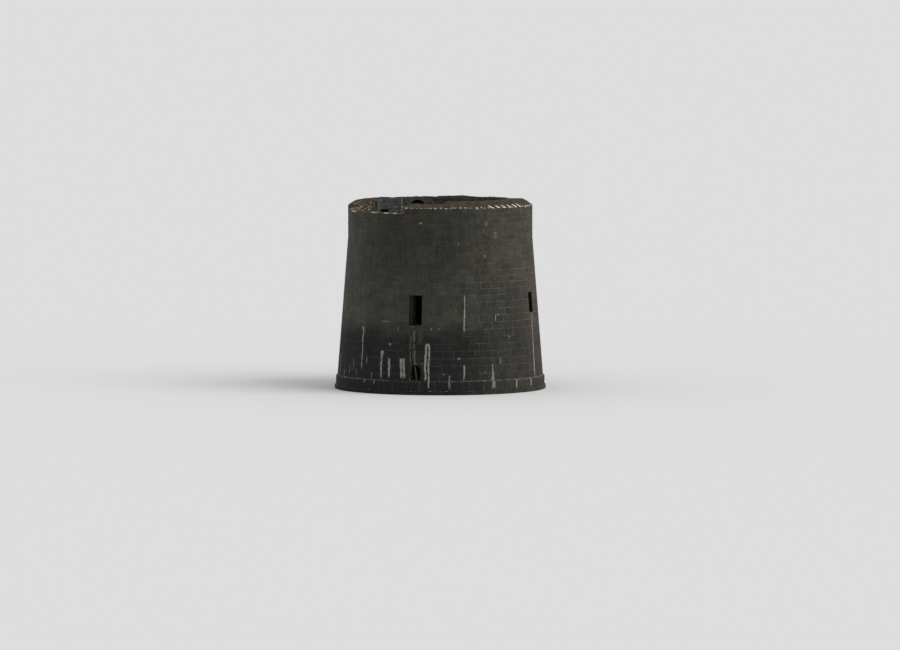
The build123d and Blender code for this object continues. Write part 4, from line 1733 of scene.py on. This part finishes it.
@dataclass
class TurfTop:
    """The crust of turf and moss over the parapet's slope and crest."""

    inner_radius: float = 4.53
    rows: int = 20
    thickness: float = 0.055
    mounds: tuple[Point, ...] = ((179.0, 7.0, 0.04), (162.0, 7.0, -0.05), (250.0, 14.0, -0.04))

    def build(self) -> None:
        """Grows the crust over the sound stretches and over the spalled stretch's crest."""
        batch = Batch("turf_on_parapet", random.Random())
        self.sheet(batch, (WALL.low_from + 0.3, 360 + WALL.broken_from), 5.82, 760)
        self.sheet(batch, (WALL.broken_from - 0.4, WALL.gap_from - 0.2), 5.42, 64, BrokenTop().line(WALL.broken_from))
        batch.piece(Turf(), "wall_granite", 60.0, "turf_and_moss")

    def sheet(self, batch: Batch, ends: Pair, outer: float, columns: int, line: Sequence[Pair] = ()) -> None:
        """Grows one sheet of the crust.

        Args:
            batch: where it goes.
            ends: bearings of its start and end, in degrees.
            outer: its outer radius.
            columns: how many points run round it.
            line: the solid's top under it, or nothing for the sound stretches.
        """
        first, last = ends
        bearings = [first + (last - first) * column / (columns - 1) for column in range(columns)]
        lines = [line or WALL.top_line(WALL.eased_crest(bearing)) for bearing in bearings]
        points = []
        for row in range(self.rows):
            radius = outer + (self.inner_radius - outer) * row / (self.rows - 1)
            for column, bearing in enumerate(bearings):
                tucked = row in (0, self.rows - 1) or column in (0, columns - 1)
                rise = -0.02 if tucked else self.lift(radius, bearing, (outer - radius) / 0.35)
                level = min(along(lines[column], radius) + rise, CAD_HIGH.z - 0.002)
                points.append(place(radius, math.radians(bearing), level))
        batch.add(points, grid(columns, self.rows), 0.5, 0.5)

    def lift(self, radius: float, bearing: float, from_edge: float) -> float:
        """How far the crust stands above the solid.

        Args:
            radius: distance from the axis.
            bearing: bearing in degrees.
            from_edge: how far the point is from the crust's outer edge, 1 where it is at full thickness.

        Returns:
            The lift in metres, negative where the crust thins out.
        """
        flat = Vector(place(radius, math.radians(bearing), 0.0))
        cover = noise.fractal(flat * 1.1 + Vector((3, 5, 7)), 0.7, 2.0, 4)
        clump = noise.fractal(flat * 4.0 + Vector((13, 2, 9)), 0.8, 2.0, 3)
        mound = 0.0
        for middle, spread, height in self.mounds:
            apart = ((bearing - middle + 180) % 360 - 180) / spread
            mound += height * math.exp(-apart * apart)
        full = 0.014 + self.thickness * (0.35 + cover * 0.8 + clump * 0.5) + mound
        return full - 0.045 * (1 - held(from_edge))


@dataclass
class InnerFace(Masonry):
    """The rubble facing inside the parapet, round the gun platform; each recess has a bearing, width and height."""

    seed: int = 53
    dressing: Dressing = Dressing(joint=0.034, bevel=0.020, proud=0.014, rough=0.016, ragged=0.012, columns=2)
    heights: Pair = (0.20, 0.31)
    lengths: Pair = (0.26, 0.62)
    uneven: float = 0.02
    recesses: tuple[Point, ...] = ((214.2, 0.95, 1.57), (249.1, 0.85, 1.01))
    runs: tuple[Run, ...] = (
        Run(257.0, 12.45, 10.60, 1.60, StainOrShade.GREEN, share=0.75),
        Run(244.5, 12.45, 10.60, 1.30, StainOrShade.BLUE, share=0.75),
        Run(237.5, 12.20, 11.75, 0.55, StainOrShade.PURPLE),
        Run(234.0, 12.30, 11.60, 0.50, StainOrShade.PURPLE),
        Run(236.5, 11.65, 11.20, 0.60, StainOrShade.PURPLE),
        Run(232.0, 11.75, 11.20, 0.50, StainOrShade.PURPLE),
        Run(228.9, 12.40, 11.35, 0.11, StainOrShade.WHITE, share=0.90),
        Run(225.6, 12.40, 11.00, 0.60, StainOrShade.PURPLE, share=0.35),
        # painted shade: two wide dark runs over the far side of the inner face, which is in shadow
        Run(186.0, 12.60, 10.40, 7.0, StainOrShade.SHADE, share=0.75),
        Run(130.0, 12.60, 10.40, 6.0, StainOrShade.SHADE, share=0.60),
        Run(95.0, 12.30, 10.80, 0.18, StainOrShade.LIME, share=0.50),
        Run(40.0, 12.20, 11.10, 0.22, StainOrShade.BEIGE, share=0.50),
    )

    def build(self) -> None:
        """Lays the facing in rough courses."""
        batch, bottom = self.batch("inner_parapet_facing"), STEP_TOP
        while bottom < CAD_HIGH.z - 0.14:
            top = bottom + self.rng.uniform(*self.heights)
            self.lay_course(batch, bottom, top)
            bottom = top
        batch.piece(InnerRubble(self.runs), "wall_granite")

    def blocked(self, bearing: float, level: float, top: float, half: float) -> bool:
        """Says whether a stone would stand over a recess or above the wall.

        Args:
            bearing: its middle, in degrees.
            level: its lower bed.
            top: its upper bed.
            half: half its length.

        Returns:
            True if it is to be left out.
        """
        for middle, width, head in self.recesses:
            apart = abs((bearing - middle + 180) % 360 - 180) * math.radians(WALL.inner_radius)
            if apart < width / 2 + half * 0.9 and level < STEP_TOP + head - 0.04:
                return True
        return top > WALL.crest(bearing) - 0.02

    def lay_course(self, batch: Batch, bottom: float, top: float) -> None:
        """Lays one rough course.

        Args:
            batch: where it goes.
            bottom: its lower bed.
            top: its upper bed.
        """
        rng, uneven = self.rng, self.uneven
        mark = rng.uniform(0, 4)
        end = mark + 360
        while mark < end - 1:
            length = rng.uniform(*self.lengths)
            after = min(end, mark + math.degrees(length / WALL.inner_radius))
            low, high = bottom + rng.uniform(-uneven, uneven), top + rng.uniform(-uneven, uneven)
            low = max(STEP_TOP, low)
            if not self.blocked((mark + after) / 2, low, high, length / 2):
                skin = self.dressing.upright(low, high, lambda level: WALL.inner_radius, -1.0, 2)
                batch.stone(Side(mark), Side(after), skin, flip=True)
            mark = after


# Floors


def clipped(shape: Sequence[Pair], point: Pair, normal: Pair) -> list[Pair]:
    """The part of a convex shape behind a line.

    Args:
        shape: its corners in order.
        point: a point on the line.
        normal: the line's outward direction.

    Returns:
        The corners that are left.
    """
    kept = []
    for (ax, ay), (bx, by) in zip(shape, (*shape[1:], *shape[:1])):
        a = (ax - point[0]) * normal[0] + (ay - point[1]) * normal[1]
        b = (bx - point[0]) * normal[0] + (by - point[1]) * normal[1]
        if a <= 0:
            kept.append((ax, ay))
        if a * b < 0:
            kept.append((ax + (bx - ax) * a / (a - b), ay + (by - ay) * a / (a - b)))
    return kept


def in_round(shape: list[Pair], centre_y: float, radius: float) -> list[Pair]:
    """The part of a convex shape within a circle on the Y axis.

    Args:
        shape: its corners in order.
        centre_y: the circle's place on Y.
        radius: its radius.

    Returns:
        The corners that are left.
    """
    for step in range(48):
        normal = (math.cos(math.tau * step / 48), math.sin(math.tau * step / 48))
        shape = clipped(shape, (normal[0] * radius, centre_y + normal[1] * radius), normal)
    return shape


def rectangle(left: float, right: float, front: float, back: float) -> list[Pair]:
    """Its four corners in plan."""
    return [(left, front), (right, front), (right, back), (left, back)]


@dataclass
class Roof(Masonry):
    """The gun platform's flags and the firing step's stones."""

    seed: int = 61
    dressing: Dressing = Dressing(joint=0.018, bevel=0.014, proud=0.010, rough=0.006, columns=3)
    flag_width: float = 0.62
    flag_lengths: Pair = (0.7, 1.3)
    half_joint: float = 0.008
    step_sweeps: Pair = (8.5, 13.5)

    def build(self) -> None:
        """Lays both."""
        self.lay_flags()
        self.restart(1)
        self.lay_step()

    def lay_flags(self) -> None:
        """Lays the platform's flags in rows, cut to its round edge."""
        batch, rng, gap = self.batch("platform_flags"), self.rng, self.half_joint
        edge = WALL.inner_radius - WALL.step_width - 0.01
        y = -edge
        while y < edge:
            width = rng.uniform(0.8, 1.2) * self.flag_width
            x = -edge - rng.uniform(0, 0.6)
            while x < edge:
                length = rng.uniform(*self.flag_lengths)
                shape = in_round(rectangle(x + gap, x + length - gap, y + gap, y + width - gap), 0.0, edge)
                batch.slab(shape, PLATFORM_TOP - 0.01, PLATFORM_TOP + 0.016 + rng.uniform(-0.004, 0.004), 0.010)
                x += length
            y += width
        batch.piece(Paving(0.35), "paving", 25.0)

    def lay_step(self) -> None:
        """Lays the firing step's stones, from their riser over their tread."""
        batch, outer, floor, top = self.batch("firing_step_stones"), WALL.inner_radius, PLATFORM_TOP, STEP_TOP
        inner = outer - WALL.step_width
        skin = bent(*((inner, floor + 0.012, -1.0, 0.0, lift) for lift in (0, 1)))
        skin += bent(*((inner, level, -1.0) for level in (floor + 0.03, (floor + top) / 2, top - 0.014)))
        skin += bent(*((radius, top, 0.0, 1.0) for radius in (inner + 0.014, inner + 0.3, outer - 0.03)))
        skin += bent((outer + 0.01, top, 0.0, 1.0, 0))
        mark, end = 1.0, 361.0
        while mark < end - 0.5:
            after = min(end, mark + self.rng.uniform(*self.step_sweeps))
            after = end if end - after < 4 else after
            batch.stone(Side(mark), Side(after), skin, flip=True)
            mark = after
        batch.piece(Paving(0.30), "paving")


@dataclass
class Boards(Masonry):
    """The floor boards of the upper chamber, cut round the hatch: its left, right, front and back."""

    seed: int = 71
    width: float = 0.19
    gap: float = 0.005
    hatch: tuple[float, float, float, float] = (-1.305, -0.495, 0.10, 1.00)

    def build(self) -> None:
        """Lays the boards in place of the plain sheet."""
        batch = self.batch("floor_boards_laid")
        low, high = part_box("floor_boards")
        left, right, front, back = self.hatch
        centre_y, radius = (low.y + high.y) / 2, (high.x - low.x) / 2 - 0.002
        y = low.y
        while y < high.y:
            after = min(high.y, y + self.width)
            cut = after > front and y < back
            for first, last in ((low.x, left), (right, high.x)) if cut else ((low.x, high.x),):
                shape = rectangle(first, last, y, after - self.gap)
                batch.slab(in_round(shape, centre_y, radius), low.z, high.z, 0.003)
            y = after
        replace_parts(batch.piece(Timber((0.10, 1.0, 1.0)), "floor_timber", 25.0), "floor_boards")


@dataclass
class BreachRubble(Masonry):
    """Broken core stones on the sides, back and floor of the hole under the door."""

    seed: int = 83
    stones: int = 120
    back_stones: int = 26
    remnant_stones: int = 22
    middle: float = 0.07
    half_width: float = 0.37
    foot: float = 0.89
    head: float = 1.93
    face: float = 6.66
    depth: float = 1.14
    taper: float = math.tan(math.radians(9.0))

    def build(self) -> None:
        """Sets the stones, and the limy remnant of core left standing in the mouth."""
        rng, batch = self.rng, self.batch("breach_core_stones")
        level, half_height = (self.foot + self.head) / 2, (self.head - self.foot) / 2
        for _ in range(self.stones):
            depth = rng.uniform(0.10, 1.05)
            narrow, turn = depth * self.taper, rng.uniform(0, math.tau)
            x = self.middle + math.cos(turn) * (self.half_width + 0.03 - narrow)
            z = level + math.sin(turn) * (half_height + 0.03 - narrow)
            size = rng.uniform(0.05, 0.10)
            batch.rock((x, depth - self.face, z), (size, size, size * 0.7))
        for _ in range(self.back_stones):
            size = rng.uniform(0.08, 0.14)
            centre = (self.middle + rng.uniform(-0.2, 0.2), self.depth - self.face, rng.uniform(1.05, 1.72))
            batch.rock(centre, (size, size * 0.6, size * 0.8))
        finish = BrokenCore(seen(46, 45, 43), seen(28, 28, 28), seen(48, 42, 40), seen(62, 61, 57))
        batch.piece(finish, "rubble_core", 30.0)
        remnant = self.batch("limy_core_remnant")
        for step in range(self.remnant_stones):
            share = step / (self.remnant_stones - 1)
            x, y = 0.14 * share + rng.uniform(-0.012, 0.012), rng.uniform(-6.52, -6.44)
            size = rng.uniform(0.040, 0.062)
            remnant.rock((x, y, self.head - (self.head - self.foot) * share), (size,) * 3)
        finish = BrokenCore(seen(84, 82, 70), seen(66, 60, 52), seen(88, 68, 60), seen(116, 118, 110))
        remnant.piece(finish, "rubble_core", 30.0)


# Carried-over solids


class CarriedSolids:
    """Gives every solid that stays in view its finish."""

    opening_stones = ("door_lintel", "door_threshold", "passage_arch")
    opening_stones += tuple(f"{side}_window_{kind}" for side in ("right", "left") for kind in ("sill", "lintel"))
    chosen = (
        ("dressed_granite", DressedGranite(), opening_stones),
        ("limewashed_vault", VaultStone(), ("vault",)),
        ("core_solid", BrokenCore(faced=True), ("vault_fill", "parapet_spalled", "parapet_gap_sill")),
        ("ground_flags", Paving(0.0), ("ground_floor_flags",)),
        ("platform_bed", Paving(0.5), ("gun_platform", "firing_step")),
        ("floor_joists", Timber((1.0, 0.10, 1.0)), ("floor_joists", "floor_boards")),
    )

    def build(self) -> None:
        """Goes through the nodes by what they are, then by the runs that reach them."""
        made: dict[Union[str, Finish], bpy.types.Material] = {}
        for label, finish, names in self.chosen:
            made.update(dict.fromkeys(names, finish.material(label)))
        for name, node in sorted(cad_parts.items()):
            key: Union[str, Finish] = name
            if name not in made:
                listed = Reach.of(vertex.co for vertex in node.data.vertices).runs()
                mossed = (1.0, seen(72, 72, 70), seen(74, 72, 67)) if name.startswith("parapet") else ()
                key = WallBacking(listed, *mossed)
                if key not in made:
                    made[key] = key.material(f"backing_of_{name}")
            node.data.materials.clear()
            node.data.materials.append(made[key])
        log.info("carried solids: %d finishes", len(set(made.values())))


# Stage


@dataclass(frozen=True)
class Stage:
    """The pale floor, the soft light and the camera."""

    floor_colour: float = 0.80
    floor_reach: float = 9000.0
    floor_steps: int = 96
    sky: float = 0.62
    backdrop: float = 0.84
    lamp: float = 1.35
    lamp_softness: float = 50.0
    lamp_bearing: float = 78.0
    lamp_height: float = 42.0
    camera_distance: float = 348.5
    camera_level: float = 26.65
    camera_bearing: float = 14.6
    lens: float = 213.84
    aim_aside: float = 0.636
    aim_level: float = 4.08

    def build(self) -> None:
        """Makes everything that is not part of the tower."""
        self.make_floor()
        self.make_light()
        self.make_camera()

    @staticmethod
    def put(data: Union[bpy.types.Mesh, bpy.types.Light, bpy.types.Camera]) -> bpy.types.Object:
        """Puts a mesh, a lamp or a camera in the scene under its own name.

        Args:
            data: the mesh, lamp or camera.

        Returns:
            The new object.
        """
        made = bpy.data.objects.new(data.name, data)
        bpy.context.scene.collection.objects.link(made)
        made.rotation_mode = "QUATERNION"
        return made

    def make_floor(self) -> None:
        """A wide pale floor that keeps the tower's shadow."""
        mesh = bpy.data.meshes.new("floor")
        turns = [math.tau * step / self.floor_steps for step in range(self.floor_steps)]
        points = [(self.floor_reach * math.cos(turn), self.floor_reach * math.sin(turn), 0.0) for turn in turns]
        mesh.from_pydata(points, [], [tuple(range(self.floor_steps))])
        material = bpy.data.materials.new("pale_floor")
        graph = Graph(material)
        shader = graph.node("BsdfDiffuse", None, {"Color": (self.floor_colour,) * 3}, "BSDF")
        graph.node("OutputMaterial", None, {"Surface": shader})
        mesh.materials.append(material)
        self.put(mesh)

    def make_light(self) -> None:
        """An even sky, and one wide soft lamp from the right."""
        world = bpy.data.worlds.new("soft_sky")
        bpy.context.scene.world = world
        graph = Graph(world)
        camera, glossy, clear = (
            graph.node("LightPath", output=f"Is {kind} Ray") for kind in ("Camera", "Glossy", "Transmission")
        )
        sky = graph.node("Background", None, {"Color": (1.0, 1.0, 1.0), "Strength": self.sky})
        back = graph.node("Background", None, {"Color": (self.backdrop,) * 3, "Strength": 1.0})
        choice = graph.node("MixShader", None, {0: camera | glossy | clear, 1: sky, 2: back})
        graph.node("OutputWorld", None, {"Surface": choice})
        lamp = bpy.data.lights.new("soft_lamp", "SUN")
        lamp.energy, lamp.angle = self.lamp, math.radians(self.lamp_softness)
        side, height = math.radians(self.lamp_bearing), math.radians(self.lamp_height)
        towards = Vector(place(math.cos(height), side, math.sin(height)))
        self.put(lamp).rotation_quaternion = towards.to_track_quat("Z", "Y")

    def make_camera(self) -> None:
        """The camera, far off with a long lens, a little above the tower."""
        data = bpy.data.cameras.new("camera")
        data.lens, data.sensor_width = self.lens, 36.0
        data.clip_start, data.clip_end = 10.0, 20000.0
        camera = self.put(data)
        side = math.radians(self.camera_bearing)
        camera.location = place(self.camera_distance, side, self.camera_level)
        aim = Vector((math.cos(side) * self.aim_aside, math.sin(side) * self.aim_aside, self.aim_level))
        camera.rotation_quaternion = (aim - camera.location).to_track_quat("-Z", "Y")
        bpy.context.scene.camera = camera


def write_sizes() -> None:
    """Brings the view layer up to date."""
    bpy.context.view_layer.update()


def main() -> None:
    """Builds the classes in order."""
    logging.basicConfig(level=logging.INFO, format="%(name)s %(message)s")
    bpy.context.scene.view_settings.view_transform = "Standard"
    masonry = (Facing, BaseCourses, Coping, BrokenTop, TurfTop, InnerFace, Roof, Boards, BreachRubble)
    for part in (CarriedSolids, *masonry, Stage):
        part().build()
        log.info("%s done", part.__name__)
    write_sizes()


if __name__ == "__main__":
    main()
